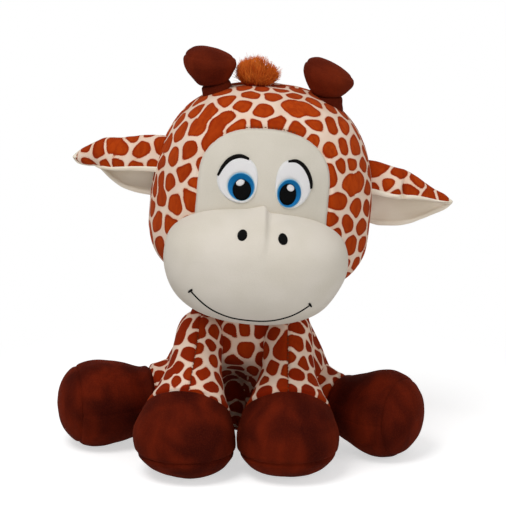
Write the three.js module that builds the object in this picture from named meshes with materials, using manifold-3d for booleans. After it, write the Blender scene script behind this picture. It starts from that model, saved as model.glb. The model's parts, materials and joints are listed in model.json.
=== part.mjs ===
// A seated plush giraffe: sewn cloth covers over soft filling, with an embroidered face.
// Millimetres, +Z up. The face looks along -Y, the floor is Z = 0 and the origin lies on it, in the middle.
// Left and right are the toy's own, so its left side is +X.

import * as THREE from 'three';
import { mergeVertices } from 'three/addons/utils/BufferGeometryUtils.js';
import Module from 'manifold-3d';

const { clamp, degToRad, lerp } = THREE.MathUtils;

const wasm = await Module();
wasm.setup();

// Cloth, seams and embroidery
const clothThickness = 1.6;
const seamGap = 0.3;
const threadHeight = 1.0;
const flattening = 0.5;
const plushRoughness = 0.95;
const threadRoughness = 0.55;
const roundPower = 2;

// Body: a pear that sits on its rump and narrows to a ball-shaped neck
const bodyHeight = 160;
const bodyHalfWidth = 84;
const bodyHalfDepth = 62;
const bodyBottomRounding = 32;
const bodyTopRounding = 26;
const bodyProfilePower = 2.6;
const bodySectionPower = 2.15;
const rumpBack = 26;
const neckBack = 4;
const neckDrop = 10;
const neckRadius = 42;
const neckOpeningRadius = 22;

// Head: a wide, boxy egg whose crown is taller than its jaw
const headHalfWidth = 99;
const headHalfDepth = 88;
const headWidestHeight = 62;
const crownHeight = 123;
const headProfilePower = 2.6;
const headSectionPower = 2.2;
const headShift = 4.5;
const headRollDegrees = 5.5;
const headYawDegrees = 2;

// Face panel, sewn into the front of the head
const facePanelHalfWidth = 58;
const facePanelCentre = 112;
const facePanelRise = 47;
const facePanelDrop = 30;
const facePanelPower = 2.5;

// Muzzle, a broad stuffed snout over the lower face
const muzzleHalfWidth = 80.5;
const muzzleHalfHeight = 52;
const muzzleShift = -2;
const muzzleCentre = 44;
const muzzleBack = 40;
const muzzleFront = 130;
const muzzleBackRounding = 26;
const muzzleFrontRounding = 58;
const muzzleProfilePower = 2.3;
const muzzleSectionPower = 2.4;

// Embroidered eyes, nostrils and smile
const eyeSpread = 24.4;
const eyeHeight = 114.3;
const eyeWhiteHalfWidth = 17.2;
const eyeWhiteHalfHeight = 20.4;
const eyeTiltDegrees = 12;
const eyeWhitePower = 2.2;
const irisRadius = 11.6;
const irisInset = 3;
const irisDrop = 5.2;
const pupilHalfWidth = 7.8;
const pupilHalfHeight = 8.8;
const pupilInset = 1.2;
const pupilDrop = 1.5;
const glintHalfWidth = 3.6;
const glintHalfHeight = 2.8;
const glintOutset = 2;
const glintRise = 5.2;
const lidLineWidth = 2.4;
const nostrilSpread = 17.4;
const nostrilHeight = 77;
const nostrilHalfWidth = 4.2;
const nostrilHalfHeight = 4.8;
const smileHalfWidth = 51.5;
const smileHeight = 2;
const smileRise = 15;
const smilePower = 2.5;
const smileLineWidth = 1.6;
const smileTickLength = 4.4;

// Ears: two sewn layers curled lengthwise, open to the front and below
const earLength = 75;
const earHalfHeight = 28.5;
const earHalfDepth = 14;
const earHeight = 100;
const earBack = 6;
const earRootDepth = 14;
const leftEarDroopDegrees = 3;
const rightEarDroopDegrees = 1.5;
const leftEarSweepDegrees = 0;
const rightEarSweepDegrees = 22;
const earArcStartDegrees = 180;
const earArcEndDegrees = -80;

// Horns: a round stalk under an egg-shaped cap that narrows towards it
const hornSpread = 51;
const hornStalkRadius = 13.5;
const hornStalkHeight = 5;
const hornRootDepth = 10;
const hornCapRadius = 23;
const hornCapHeight = 34;
const leftHornLeanDegrees = -3;
const rightHornLeanDegrees = 20;

// Forelock: a tuft of long pile on the crown between the horns
const forelockHalfWidth = 20;
const forelockHalfDepth = 14;
const forelockHeight = 27;
const forelockRootDepth = 10;
const forelockShift = -9;
const forelockProfilePower = 2.2;

// Front legs: trumpets that lean forward and end in big shoes standing on the floor
const shoulderSpread = 38;
const shoulderBack = -8;
const shoulderDrop = 32;
const frontLegReach = 76;
const frontFootHalfWidth = 47;
const frontFootHalfLength = 46;
const frontFootRounding = 34;
const leftFrontFootSpread = 37.5;
const rightFrontFootSpread = 59.5;
const frontSoleHeight = 13;
const frontLegProfilePower = 2.5;
const legSectionPower = 2.1;

// Hind legs: shorter and stouter, stretched out sideways along the floor
const hipSpread = 42;
const hipBack = 24;
const hipHeight = 44;
const hindLegLength = 132;
const hindFootHalfWidth = 41;
const hindFootHalfHeight = 39.5;
const hindFootRounding = 40;
const leftHindLegTurnDegrees = 31;
const rightHindLegTurnDegrees = 11;
const hindSoleThickness = 18;
const hindLegProfilePower = 2.3;

// Tail: a thin tube with a tufted end that hangs from the rump to just above the floor
const tailRootHeight = 70;
const tailReach = 26;
const tailDrop = 34;
const tailRadius = 6;
const tailRootDepth = 20;
const tailTuftRadius = 11;
const tailTuftLength = 30;
const tailProfilePower = 2.4;
const tuftProfilePower = 1.9;

// Fineness of the facets
const bodySides = 20;
const bodyRings = 12;
const headSides = 24;
const headRings = 13;
const muzzleRings = 8;
const limbSides = 12;
const limbRings = 12;
const tuftSides = 10;
const tuftRings = 7;
const tailRings = 9;
const earRings = 6;
const earArcSteps = 8;
const roundSides = 12;
const outlineSteps = 16;
const slopeStepShare = 0.001;

// The two sides are sewn alike, and each has its own pose.
const sides = [
  {
    name: 'left',
    sign: 1,
    earDroop: degToRad(leftEarDroopDegrees),
    earSweep: degToRad(leftEarSweepDegrees),
    hornLean: degToRad(leftHornLeanDegrees),
    frontFootSpread: leftFrontFootSpread,
    hindLegTurn: degToRad(leftHindLegTurnDegrees),
  },
  {
    name: 'right',
    sign: -1,
    earDroop: degToRad(rightEarDroopDegrees),
    earSweep: degToRad(rightEarSweepDegrees),
    hornLean: degToRad(rightHornLeanDegrees),
    frontFootSpread: rightFrontFootSpread,
    hindLegTurn: degToRad(rightHindLegTurnDegrees),
  },
];


// Colours of the cloths and threads
const cloth = (color, roughness) => new THREE.MeshStandardMaterial({ color, roughness, metalness: 0 });
const spottedPlush = cloth('#b8532a', plushRoughness);
const creamPlush = cloth('#ddd3c6', plushRoughness);
const brownPlush = cloth('#54200f', plushRoughness);
const tuftPile = cloth('#b4622a', plushRoughness);
const filling = cloth('#f1efe9', plushRoughness);
const whiteThread = cloth('#eceef0', threadRoughness);
const blueThread = cloth('#2381b8', threadRoughness);
const blackThread = cloth('#14110f', threadRoughness);

// Makes a manifold solid from a closed geometry.
function solidOf(geometry) {
  const bare = geometry.clone();
  bare.deleteAttribute('normal');
  bare.deleteAttribute('uv');
  const merged = mergeVertices(bare);
  const corners = merged.index.array;
  const kept = [];
  for (let i = 0; i < corners.length; i += 3) {
    const [a, b, c] = corners.slice(i, i + 3);
    if (a !== b && b !== c && c !== a) kept.push(a, b, c);
  }
  return new wasm.Manifold(new wasm.Mesh({
    numProp: 3,
    vertProperties: Float32Array.from(merged.attributes.position.array),
    triVerts: Uint32Array.from(kept),
  }));
}

// Adds a solid to a group as a named mesh.
function addPiece(group, name, solid, material) {
  const { vertProperties, triVerts } = solid.getMesh();
  const geometry = new THREE.BufferGeometry();
  geometry.setAttribute('position', new THREE.BufferAttribute(vertProperties, 3));
  geometry.setIndex(new THREE.BufferAttribute(triVerts, 1));
  geometry.computeVertexNormals();
  const mesh = new THREE.Mesh(geometry, material);
  mesh.name = name;
  group.add(mesh);
  return mesh;
}

// Expresses a solid that was made in one group's frame in another's.
function inFrame(solid, from, to) {
  from.updateWorldMatrix(true, false);
  to.updateWorldMatrix(true, false);
  const matrix = to.matrixWorld.clone().invert().multiply(from.matrixWorld);
  return solid.transform(matrix.elements);
}

// Shrinks a section to nothing over the last stretch of a form, along a rounded profile.
function rounding(distance, length, power) {
  if (distance >= length) return 1;
  const share = 1 - Math.max(distance, 0) / length;
  return (1 - share ** power) ** (1 / power);
}

// A smooth curve through rows of three values, with every row an equal step apart.
function shareCurve(rows) {
  return new THREE.CatmullRomCurve3(rows.map((row) => new THREE.Vector3(...row)), false, 'catmullrom', 0.5);
}

// The points of a straight spine, and the girth rows of a form that stays equally wide along it.
const straightSpine = (start, end) => [0, 0.5, 1].map((share) => start.clone().lerp(end, share));
const evenGirth = (halfWidth, halfDepth) => [0, 0.5, 1].map((share) => [share, halfWidth, halfDepth]);

// A stuffed form: oval sections strung along a curved spine and rounded off at both ends.
// Its girth rows hold [share of the spine, half width, half depth].
function stuffedForm({ spine, girth, roundings, profilePower, sectionPower, across, around, rings }) {
  const path = new THREE.CatmullRomCurve3(spine);
  const girthCurve = shareCurve(girth);
  const length = path.getLength();

  const sectionAt = (t) => {
    const row = girthCurve.getPoint(t);
    const share = clamp(row.x, 0, 1);
    const along = share * length;
    const fromStart = rounding(along, roundings.start, profilePower);
    const fromEnd = rounding(length - along, roundings.end, profilePower);
    const shrink = fromStart * fromEnd;
    return { share, along, halfWidth: row.y * shrink, halfDepth: row.z * shrink };
  };

  const tiltAt = (t) => {
    const before = sectionAt(Math.max(t - slopeStepShare, 0));
    const after = sectionAt(Math.min(t + slopeStepShare, 1));
    const rise = (after.halfWidth + after.halfDepth - before.halfWidth - before.halfDepth) / 2;
    return Math.atan2(rise, after.along - before.along);
  };

  // The same form with its surface moved out, or in where grow is negative.
  const grown = (grow) => {
    const positions = [];
    const centreAt = (t, tilt) => {
      const { share } = sectionAt(t);
      const tangent = path.getTangentAt(share);
      return path.getPointAt(share).addScaledVector(tangent, -grow * Math.sin(tilt));
    };
    positions.push(...centreAt(0, Math.PI / 2));
    for (let i = 1; i < rings; i++) {
      const t = (1 - Math.cos((Math.PI * i) / rings)) / 2;
      const { share, halfWidth, halfDepth } = sectionAt(t);
      const tilt = tiltAt(t);
      const centre = centreAt(t, tilt);
      const tangent = path.getTangentAt(share);
      const depthAxis = tangent.clone().cross(across).normalize();
      const widthAxis = depthAxis.clone().cross(tangent).normalize();
      const swell = grow * Math.cos(tilt);
      for (let j = 0; j < around; j++) {
        const [x, y] = ovalPoint(halfWidth + swell, halfDepth + swell, sectionPower, j / around);
        positions.push(...centre.clone().addScaledVector(widthAxis, x).addScaledVector(depthAxis, y));
      }
    }
    positions.push(...centreAt(1, -Math.PI / 2));
    return solidOf(tubeGeometry(positions, around, rings));
  };
  return { grown, path };
}

// A point on a squared oval, at a share of the way round.
function ovalPoint(halfWidth, halfHeight, power, share) {
  const angle = 2 * Math.PI * share;
  const squared = (value) => Math.sign(value) * Math.abs(value) ** (2 / power);
  return [halfWidth * squared(Math.cos(angle)), halfHeight * squared(Math.sin(angle))];
}

// Skins a start point, rings of equal count and an end point with outward triangles.
function tubeGeometry(positions, around, rings) {
  const faces = [];
  const at = (ring, j) => 1 + (ring - 1) * around + (j % around);
  const last = positions.length / 3 - 1;
  for (let j = 0; j < around; j++) {
    faces.push(0, at(1, j + 1), at(1, j));
    faces.push(last, at(rings - 1, j), at(rings - 1, j + 1));
    for (let ring = 1; ring < rings - 1; ring++) {
      faces.push(at(ring, j), at(ring, j + 1), at(ring + 1, j));
      faces.push(at(ring, j + 1), at(ring + 1, j + 1), at(ring + 1, j));
    }
  }
  const geometry = new THREE.BufferGeometry();
  geometry.setAttribute('position', new THREE.Float32BufferAttribute(positions, 3));
  geometry.setIndex(faces);
  return geometry;
}

// A ball whose flat facets lie no closer to its centre than the radius.
function ballAround(radius, centre) {
  const facetLoss = Math.cos(Math.PI / bodySides) * Math.cos(Math.PI / (2 * bodyRings));
  return ballWithin(radius / facetLoss, centre);
}

function ballWithin(radius, centre) {
  const geometry = new THREE.SphereGeometry(radius, bodySides, bodyRings);
  geometry.rotateX(Math.PI / 2);
  geometry.translate(centre.x, centre.y, centre.z);
  return solidOf(geometry);
}

// Keeps what lies on the side of a plane that its normal points to.
function keepBeyond(solid, point, normal) {
  const unit = normal.clone().normalize();
  return solid.trimByPlane(unit.toArray(), unit.dot(point));
}

// A prism that runs forward along -Y, between two depths, from an outline drawn in x and height.
function forwardPrism(points, start, end) {
  const shape = new THREE.Shape(points.map(([x, height]) => new THREE.Vector2(x, height)));
  const geometry = new THREE.ExtrudeGeometry(shape, { depth: end - start, bevelEnabled: false });
  geometry.rotateX(Math.PI / 2);
  geometry.translate(0, -start, 0);
  return solidOf(geometry);
}

// Points along a leaning oval, in x and height, from one share of the way round to another.
function ovalArc(oval, grow, from, to, steps) {
  const { x, height, halfWidth, halfHeight, power = roundPower, lean = 0 } = oval;
  const points = [];
  for (let i = 0; i < steps; i++) {
    const share = from + ((to - from) * i) / steps;
    const [across, up] = ovalPoint(halfWidth + grow, halfHeight + grow, power, share);
    points.push([
      x + across * Math.cos(lean) - up * Math.sin(lean),
      height + across * Math.sin(lean) + up * Math.cos(lean),
    ]);
  }
  return points;
}

const ovalOutline = (oval, grow = 0) => ovalArc(oval, grow, 0, 1, outlineSteps);

// A band of even width along a run of points.
function bandOutline(points, width) {
  const near = [];
  const far = [];
  points.forEach(([x, y], i) => {
    const [x0, y0] = points[Math.max(i - 1, 0)];
    const [x1, y1] = points[Math.min(i + 1, points.length - 1)];
    const length = Math.hypot(x1 - x0, y1 - y0);
    const offset = [(-(y1 - y0) / length) * (width / 2), ((x1 - x0) / length) * (width / 2)];
    near.push([x - offset[0], y - offset[1]]);
    far.unshift([x + offset[0], y + offset[1]]);
  });
  return [...near, ...far];
}

const giraffe = new THREE.Group();
giraffe.name = 'plush_giraffe';

// Body and neck

const bodyHeightShares = [0, 0.32, 0.67, 0.92, 1];
const bodyLeanShares = [1, 1, 0.55, 0.1, 0];
const bodyGirthShares = [
  [0, 0.93, 0.92], [0.16, 1, 1], [0.32, 0.98, 1], [0.51, 0.83, 0.93],
  [0.67, 0.7, 0.82], [0.84, 0.52, 0.66], [1, 0.3, 0.4],
];
const neckCentre = new THREE.Vector3(headShift, neckBack, bodyHeight - neckDrop);

const bodyForm = stuffedForm({
  spine: bodyHeightShares.map((share, i) => new THREE.Vector3(
    headShift * share,
    neckBack + (rumpBack - neckBack) * bodyLeanShares[i],
    bodyHeight * share - flattening,
  )),
  girth: bodyGirthShares.map(([share, wide, deep]) => [share, bodyHalfWidth * wide, bodyHalfDepth * deep]),
  roundings: { start: bodyBottomRounding, end: bodyTopRounding },
  profilePower: bodyProfilePower,
  sectionPower: bodySectionPower,
  across: new THREE.Vector3(1, 0, 0),
  around: bodySides,
  rings: bodyRings,
});

const floorPoint = new THREE.Vector3(0, 0, 0);
const upward = new THREE.Vector3(0, 0, 1);
const onFloor = (solid) => keepBeyond(solid, floorPoint, upward);

const bodySolid = (grow) => bodyForm.grown(grow).add(ballWithin(neckRadius + grow, neckCentre));
const bodyOuter = onFloor(bodySolid(0));
const bodyCutter = bodySolid(seamGap);

function addBody() {
  const fillingGrow = -clothThickness - seamGap;
  const floorAbove = (height) => floorPoint.clone().addScaledVector(upward, height);
  const hollow = keepBeyond(bodySolid(-clothThickness), floorAbove(clothThickness), upward);
  const opening = new THREE.CylinderGeometry(neckOpeningRadius, neckOpeningRadius, neckRadius, roundSides);
  opening.rotateX(Math.PI / 2);
  opening.translate(neckCentre.x, neckCentre.y, neckCentre.z + neckRadius);
  addPiece(giraffe, 'body_cover', bodyOuter.subtract(hollow).subtract(solidOf(opening)), spottedPlush);
  const stuffing = keepBeyond(bodySolid(fillingGrow), floorAbove(clothThickness + seamGap), upward);
  addPiece(giraffe, 'body_filling', stuffing, filling);
}

// Head

const head = new THREE.Group();
head.position.copy(neckCentre);
head.rotation.set(0, degToRad(headRollDegrees), degToRad(headYawDegrees));
giraffe.add(head);

const headForm = stuffedForm({
  spine: straightSpine(new THREE.Vector3(), new THREE.Vector3(0, 0, headWidestHeight + crownHeight)),
  girth: evenGirth(headHalfWidth, headHalfDepth),
  roundings: { start: headWidestHeight, end: crownHeight },
  profilePower: headProfilePower,
  sectionPower: headSectionPower,
  across: new THREE.Vector3(1, 0, 0),
  around: headSides,
  rings: headRings,
});
const headCutter = headForm.grown(seamGap);

// The face panel's outline: a squared arch over straight sides that end behind the muzzle.
function facePanelOutline(grow) {
  const points = [];
  for (let i = 0; i <= outlineSteps / 2; i++) {
    const share = i / outlineSteps;
    const [x, up] = ovalPoint(facePanelHalfWidth + grow, facePanelRise + grow, facePanelPower, share);
    points.push([x, facePanelCentre + up]);
  }
  const low = facePanelCentre - facePanelDrop - grow;
  return [...points, [-facePanelHalfWidth - grow, low], [facePanelHalfWidth + grow, low]];
}

function addHead() {
  const neckSocket = ballAround(neckRadius + seamGap, new THREE.Vector3());
  const shell = headForm.grown(0).subtract(headForm.grown(-clothThickness));
  const panelReach = 2 * headHalfDepth;
  const panelHole = forwardPrism(facePanelOutline(seamGap), 0, panelReach);
  const panelPrism = forwardPrism(facePanelOutline(0), 0, panelReach);
  addPiece(head, 'head_cover', shell.subtract(panelHole).subtract(neckSocket), spottedPlush);
  addPiece(head, 'face_panel', shell.intersect(panelPrism), creamPlush);
  addPiece(head, 'head_filling', headForm.grown(-clothThickness - seamGap).subtract(neckSocket), filling);
}

// Muzzle

const muzzleGirthShares = [[0, 0.95], [0.4, 1], [1, 1]];
const muzzleForm = stuffedForm({
  spine: straightSpine(
    new THREE.Vector3(muzzleShift, -muzzleBack, muzzleCentre),
    new THREE.Vector3(muzzleShift, -muzzleFront, muzzleCentre),
  ),
  girth: muzzleGirthShares.map(([share, wide]) => [share, muzzleHalfWidth * wide, muzzleHalfHeight * wide]),
  roundings: { start: muzzleBackRounding, end: muzzleFrontRounding },
  profilePower: muzzleProfilePower,
  sectionPower: muzzleSectionPower,
  across: new THREE.Vector3(1, 0, 0),
  around: headSides,
  rings: muzzleRings,
});

function addMuzzle() {
  const cover = muzzleForm.grown(0).subtract(muzzleForm.grown(-clothThickness)).subtract(headCutter);
  addPiece(head, 'muzzle_cover', cover, creamPlush);
  const stuffing = muzzleForm.grown(-clothThickness - seamGap).subtract(headCutter);
  addPiece(head, 'muzzle_filling', stuffing, filling);
}

// Embroidery: thread patches that lie on the face panel or the muzzle, side by side

// The lid line follows the white's rim from its outer side over its top.
const lidLineShares = { outer: -0.07, inner: 0.3 };

function threadLayer(form) {
  return form.grown(seamGap + threadHeight).subtract(form.grown(seamGap));
}

// Every part of an eye is drawn for the toy's left and mirrored for its right.
function addEye(side, faceThread) {
  const prism = (outline) => {
    const mirrored = outline.map(([x, height]) => [side.sign * x, height]);
    return forwardPrism(mirrored, 0, 2 * headHalfDepth);
  };
  const patch = (outline) => faceThread.intersect(prism(outline));
  const white = {
    x: eyeSpread, height: eyeHeight, power: eyeWhitePower, lean: degToRad(eyeTiltDegrees),
    halfWidth: eyeWhiteHalfWidth, halfHeight: eyeWhiteHalfHeight,
  };
  const iris = {
    x: white.x - irisInset, height: white.height - irisDrop,
    halfWidth: irisRadius, halfHeight: irisRadius,
  };
  const pupil = {
    x: iris.x - pupilInset, height: iris.height - pupilDrop,
    halfWidth: pupilHalfWidth, halfHeight: pupilHalfHeight,
  };
  const glint = {
    x: pupil.x + glintOutset, height: pupil.height + glintRise,
    halfWidth: glintHalfWidth, halfHeight: glintHalfHeight,
  };
  const lidGrow = seamGap + lidLineWidth / 2;
  const lidRun = ovalArc(white, lidGrow, lidLineShares.outer, lidLineShares.inner, outlineSteps);
  const ringOf = (outer, inner) => patch(ovalOutline(outer)).subtract(prism(ovalOutline(inner, seamGap)));
  addPiece(head, `${side.name}_eye_white`, ringOf(white, iris), whiteThread);
  addPiece(head, `${side.name}_iris`, ringOf(iris, pupil), blueThread);
  addPiece(head, `${side.name}_pupil`, ringOf(pupil, glint), blackThread);
  addPiece(head, `${side.name}_eye_glint`, patch(ovalOutline(glint)), whiteThread);
  addPiece(head, `${side.name}_eyelid_line`, patch(bandOutline(lidRun, lidLineWidth)), blackThread);
}

function addNostrilsAndSmile(muzzleThread) {
  const patchStart = (muzzleBack + muzzleFront) / 2;
  const patch = (outline) => muzzleThread.intersect(forwardPrism(outline, patchStart, 2 * muzzleFront));
  for (const side of sides) {
    const nostril = {
      x: side.sign * nostrilSpread, height: nostrilHeight,
      halfWidth: nostrilHalfWidth, halfHeight: nostrilHalfHeight,
    };
    addPiece(head, `${side.name}_nostril`, patch(ovalOutline(nostril)), blackThread);
  }
  const smile = patch(bandOutline(smilePoints(), smileLineWidth));
  const ticks = sides.map((side) => patch(bandOutline(smileTickPoints(side), smileLineWidth)));
  addPiece(head, 'smile_line', smile.add(ticks[0]).add(ticks[1]), blackThread);
}

// The smile's height at a share of its half width.
const smileHeightAt = (share) => smileHeight + smileRise * Math.abs(share) ** smilePower;

function smilePoints() {
  const points = [];
  for (let i = 0; i <= outlineSteps; i++) {
    const share = (2 * i) / outlineSteps - 1;
    points.push([smileHalfWidth * share, smileHeightAt(share)]);
  }
  return points;
}

// A short stitch square to the line, across each corner of the mouth.
function smileTickPoints(side) {
  const slope = (smileRise * smilePower) / smileHalfWidth;
  const across = new THREE.Vector2(-side.sign * slope, 1).setLength(smileTickLength / 2);
  const corner = new THREE.Vector2(side.sign * smileHalfWidth, smileHeightAt(1));
  return [corner.clone().sub(across).toArray(), corner.clone().add(across).toArray()];
}

// Ears

const earGirthShares = [
  [0, 1, 0.92], [0.3, 1, 1], [0.55, 0.97, 0.93], [0.76, 0.83, 0.7], [0.91, 0.62, 0.42], [1, 0.46, 0.24],
];

// One cloth layer of the left ear: an open curl that runs out along +X and narrows to its tip.
function curledLayer(inset) {
  const girthCurve = shareCurve(earGirthShares);
  const arcPoints = earArcSteps + 1;
  const perRing = 2 * arcPoints;
  const positions = [];
  for (let i = 0; i <= earRings; i++) {
    const { x: share, y: deep, z: high } = girthCurve.getPoint(i / earRings);
    for (const layerInset of [inset, inset + clothThickness]) {
      for (let k = 0; k < arcPoints; k++) {
        const angle = degToRad(lerp(earArcStartDegrees, earArcEndDegrees, k / earArcSteps));
        positions.push(
          (earRootDepth + earLength) * share - earRootDepth,
          (earHalfDepth * deep - layerInset) * Math.cos(angle),
          (earHalfHeight * high - layerInset) * Math.sin(angle),
        );
      }
    }
  }
  const faces = [];
  const quad = (a, b, c, d) => faces.push(a, c, b, a, d, c);
  const outer = (i, k) => i * perRing + k;
  const inner = (i, k) => i * perRing + arcPoints + k;
  for (let i = 0; i < earRings; i++) {
    for (let k = 0; k < earArcSteps; k++) {
      quad(outer(i, k), outer(i, k + 1), outer(i + 1, k + 1), outer(i + 1, k));
      quad(inner(i, k), inner(i + 1, k), inner(i + 1, k + 1), inner(i, k + 1));
    }
    quad(outer(i, 0), outer(i + 1, 0), inner(i + 1, 0), inner(i, 0));
    const hem = earArcSteps;
    quad(outer(i, hem), inner(i, hem), inner(i + 1, hem), outer(i + 1, hem));
  }
  for (let k = 0; k < earArcSteps; k++) {
    quad(outer(0, k), inner(0, k), inner(0, k + 1), outer(0, k + 1));
    quad(outer(earRings, k), outer(earRings, k + 1), inner(earRings, k + 1), inner(earRings, k));
  }
  const geometry = new THREE.BufferGeometry();
  geometry.setAttribute('position', new THREE.Float32BufferAttribute(positions, 3));
  geometry.setIndex(faces);
  return solidOf(geometry);
}

function addEar(side) {
  const ear = new THREE.Group();
  ear.position.set(side.sign * headHalfWidth, earBack, earHeight);
  ear.rotation.y = side.sign * side.earDroop;
  ear.rotation.z = side.sign * side.earSweep;
  head.add(ear);
  const headNearby = inFrame(headCutter, head, ear);
  const layer = (inset) => {
    const leftLayer = curledLayer(inset);
    return (side.sign > 0 ? leftLayer : leftLayer.mirror([1, 0, 0])).subtract(headNearby);
  };
  addPiece(ear, `${side.name}_ear_back`, layer(0), spottedPlush);
  addPiece(ear, `${side.name}_ear_lining`, layer(clothThickness + seamGap), creamPlush);
}

// Horns

const hornStalkShares = [[0, 0], [1.04, 0], [0.98, 0.5], [0.95, 1], [0, 1]];
const hornCapShares = [
  [0, 0], [0.6, 0], [0.8, 0.12], [0.95, 0.33], [1, 0.55], [0.92, 0.77], [0.7, 0.92], [0.38, 0.985], [0, 1],
];

// The crown's height over the head's middle line, out at a given spread.
function crownHeightAt(spread) {
  const share = Math.abs(spread) / headHalfWidth;
  return headWidestHeight + crownHeight * (1 - share ** headProfilePower) ** (1 / headProfilePower);
}

// A turned solid from rows of [share of the radius, share of the height].
function turned(shares, radius, bottom, top) {
  const profile = shares.map(([out, up]) => new THREE.Vector2(radius * out, bottom + (top - bottom) * up));
  const geometry = new THREE.LatheGeometry(profile, roundSides);
  geometry.rotateX(Math.PI / 2);
  return solidOf(geometry);
}

function addHorn(side) {
  const horn = new THREE.Group();
  horn.position.set(side.sign * hornSpread, 0, crownHeightAt(hornSpread));
  horn.rotation.y = side.sign * side.hornLean;
  head.add(horn);
  const stalk = turned(hornStalkShares, hornStalkRadius, -hornRootDepth, hornStalkHeight);
  const capBottom = hornStalkHeight + seamGap;
  const cap = turned(hornCapShares, hornCapRadius, capBottom, capBottom + hornCapHeight);
  const headNearby = inFrame(headCutter, head, horn);
  addPiece(horn, `${side.name}_horn_stalk`, stalk.subtract(headNearby), brownPlush);
  addPiece(horn, `${side.name}_horn_cap`, cap.subtract(headNearby), brownPlush);
}

// Forelock

function addForelock() {
  const forelock = new THREE.Group();
  forelock.position.set(forelockShift, 0, crownHeightAt(forelockShift));
  head.add(forelock);
  const form = stuffedForm({
    spine: straightSpine(
      new THREE.Vector3(0, 0, -forelockRootDepth),
      new THREE.Vector3(0, 0, forelockHeight),
    ),
    girth: evenGirth(forelockHalfWidth, forelockHalfDepth),
    roundings: { start: forelockRootDepth, end: forelockHeight },
    profilePower: forelockProfilePower,
    sectionPower: roundPower,
    across: new THREE.Vector3(1, 0, 0),
    around: tuftSides,
    rings: tuftRings,
  });
  const tuft = form.grown(0).subtract(inFrame(headCutter, head, forelock));
  addPiece(forelock, 'forelock', tuft, tuftPile);
}

// Legs

// Splits a limb into its leg cover, foot cover, sole and filling, all cut by the body.
function addLimb(limb, name, form, ankleShare, soleFace) {
  const bodyNearby = inFrame(bodyCutter, giraffe, limb);
  const add = (piece, solid, material) => addPiece(limb, `${name}_${piece}`, solid, material);
  const floor = new THREE.Vector3(0, 0, -limb.position.z);
  const outer = keepBeyond(form.grown(0), floor, upward).subtract(bodyNearby);
  const cover = outer.subtract(form.grown(-clothThickness));
  const stuffing = form.grown(-clothThickness - seamGap).subtract(bodyNearby);
  const ankle = form.path.getPointAt(ankleShare);
  const footward = form.path.getTangentAt(ankleShare);
  const legward = footward.clone().negate();
  const soleward = soleFace.normal;
  const offSole = soleward.clone().negate();
  const past = (point, direction) => point.clone().addScaledVector(direction, seamGap / 2);
  const footCover = keepBeyond(cover, past(ankle, footward), footward);
  add('leg_cover', keepBeyond(cover, past(ankle, legward), legward), spottedPlush);
  add('foot_cover', keepBeyond(footCover, past(soleFace.point, offSole), offSole), brownPlush);
  add('foot_sole', keepBeyond(outer, past(soleFace.point, soleward), soleward), brownPlush);
  add('leg_filling', keepBeyond(stuffing, past(soleFace.point, offSole), offSole), filling);
}

const frontLegSpineShares = [[0, 1], [0.23, 0.844], [0.48, 0.64], [0.71, 0.445], [0.92, 0.26], [1, 0]];
const frontLegGirthShares = [
  [0, 0.44, 0.46], [0.3, 0.48, 0.52], [0.47, 0.59, 0.62], [0.62, 0.77, 0.8], [0.78, 0.96, 0.98], [1, 1, 1],
];
const frontAnkleShare = 0.6;

function addFrontLeg(side) {
  const shoulderHeight = bodyHeight - shoulderDrop;
  const limb = new THREE.Group();
  limb.position.set(side.sign * shoulderSpread, shoulderBack, shoulderHeight);
  giraffe.add(limb);
  const footShift = side.frontFootSpread - shoulderSpread;
  const form = stuffedForm({
    spine: frontLegSpineShares.map(([forward, height]) => new THREE.Vector3(
      side.sign * footShift * (1 - height),
      -frontLegReach * forward,
      -(shoulderHeight + flattening) * (1 - height),
    )),
    girth: frontLegGirthShares.map(([share, wide, long]) => [
      share, frontFootHalfWidth * wide, frontFootHalfLength * long,
    ]),
    roundings: { start: frontFootHalfWidth / 2, end: frontFootRounding },
    profilePower: frontLegProfilePower,
    sectionPower: legSectionPower,
    across: new THREE.Vector3(1, 0, 0),
    around: limbSides,
    rings: limbRings,
  });
  const soleTop = new THREE.Vector3(0, 0, frontSoleHeight - shoulderHeight);
  const soleFace = { point: soleTop, normal: upward.clone().negate() };
  addLimb(limb, `${side.name}_front`, form, frontAnkleShare, soleFace);
}

// Rows of [share of the leg's length, share of its drop from the hip].
const hindLegSpineShares = [[0, 0], [0.35, 0.5], [0.7, 1], [1, 1]];
const hindLegGirthShares = [
  [0, 0.95, 0.98], [0.16, 0.86, 0.92], [0.37, 0.68, 0.72], [0.52, 0.84, 0.86],
  [0.69, 1, 1], [0.85, 1, 1], [1, 0.97, 0.97],
];
const hindAnkleShare = 0.38;

function addHindLeg(side) {
  const limb = new THREE.Group();
  limb.position.set(side.sign * hipSpread, hipBack, hipHeight);
  giraffe.add(limb);
  const turn = side.hindLegTurn;
  const outward = new THREE.Vector3(side.sign * Math.cos(turn), -Math.sin(turn), 0);
  const footDrop = hipHeight + flattening - hindFootHalfHeight;
  const spinePoint = ([share, drop]) => {
    const level = outward.clone().multiplyScalar(hindLegLength * share);
    return level.addScaledVector(upward, -footDrop * drop);
  };
  const form = stuffedForm({
    spine: hindLegSpineShares.map(spinePoint),
    girth: hindLegGirthShares.map(([share, wide, high]) => [
      share, hindFootHalfWidth * wide, hindFootHalfHeight * high,
    ]),
    roundings: { start: hindFootHalfWidth / 2, end: hindFootRounding },
    profilePower: hindLegProfilePower,
    sectionPower: legSectionPower,
    across: upward.clone().cross(outward),
    around: limbSides,
    rings: limbRings,
  });
  const soleTop = outward.clone().multiplyScalar(hindLegLength - hindSoleThickness);
  const soleFace = { point: soleTop, normal: outward };
  addLimb(limb, `${side.name}_hind`, form, hindAnkleShare, soleFace);
}

// Tail

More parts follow.
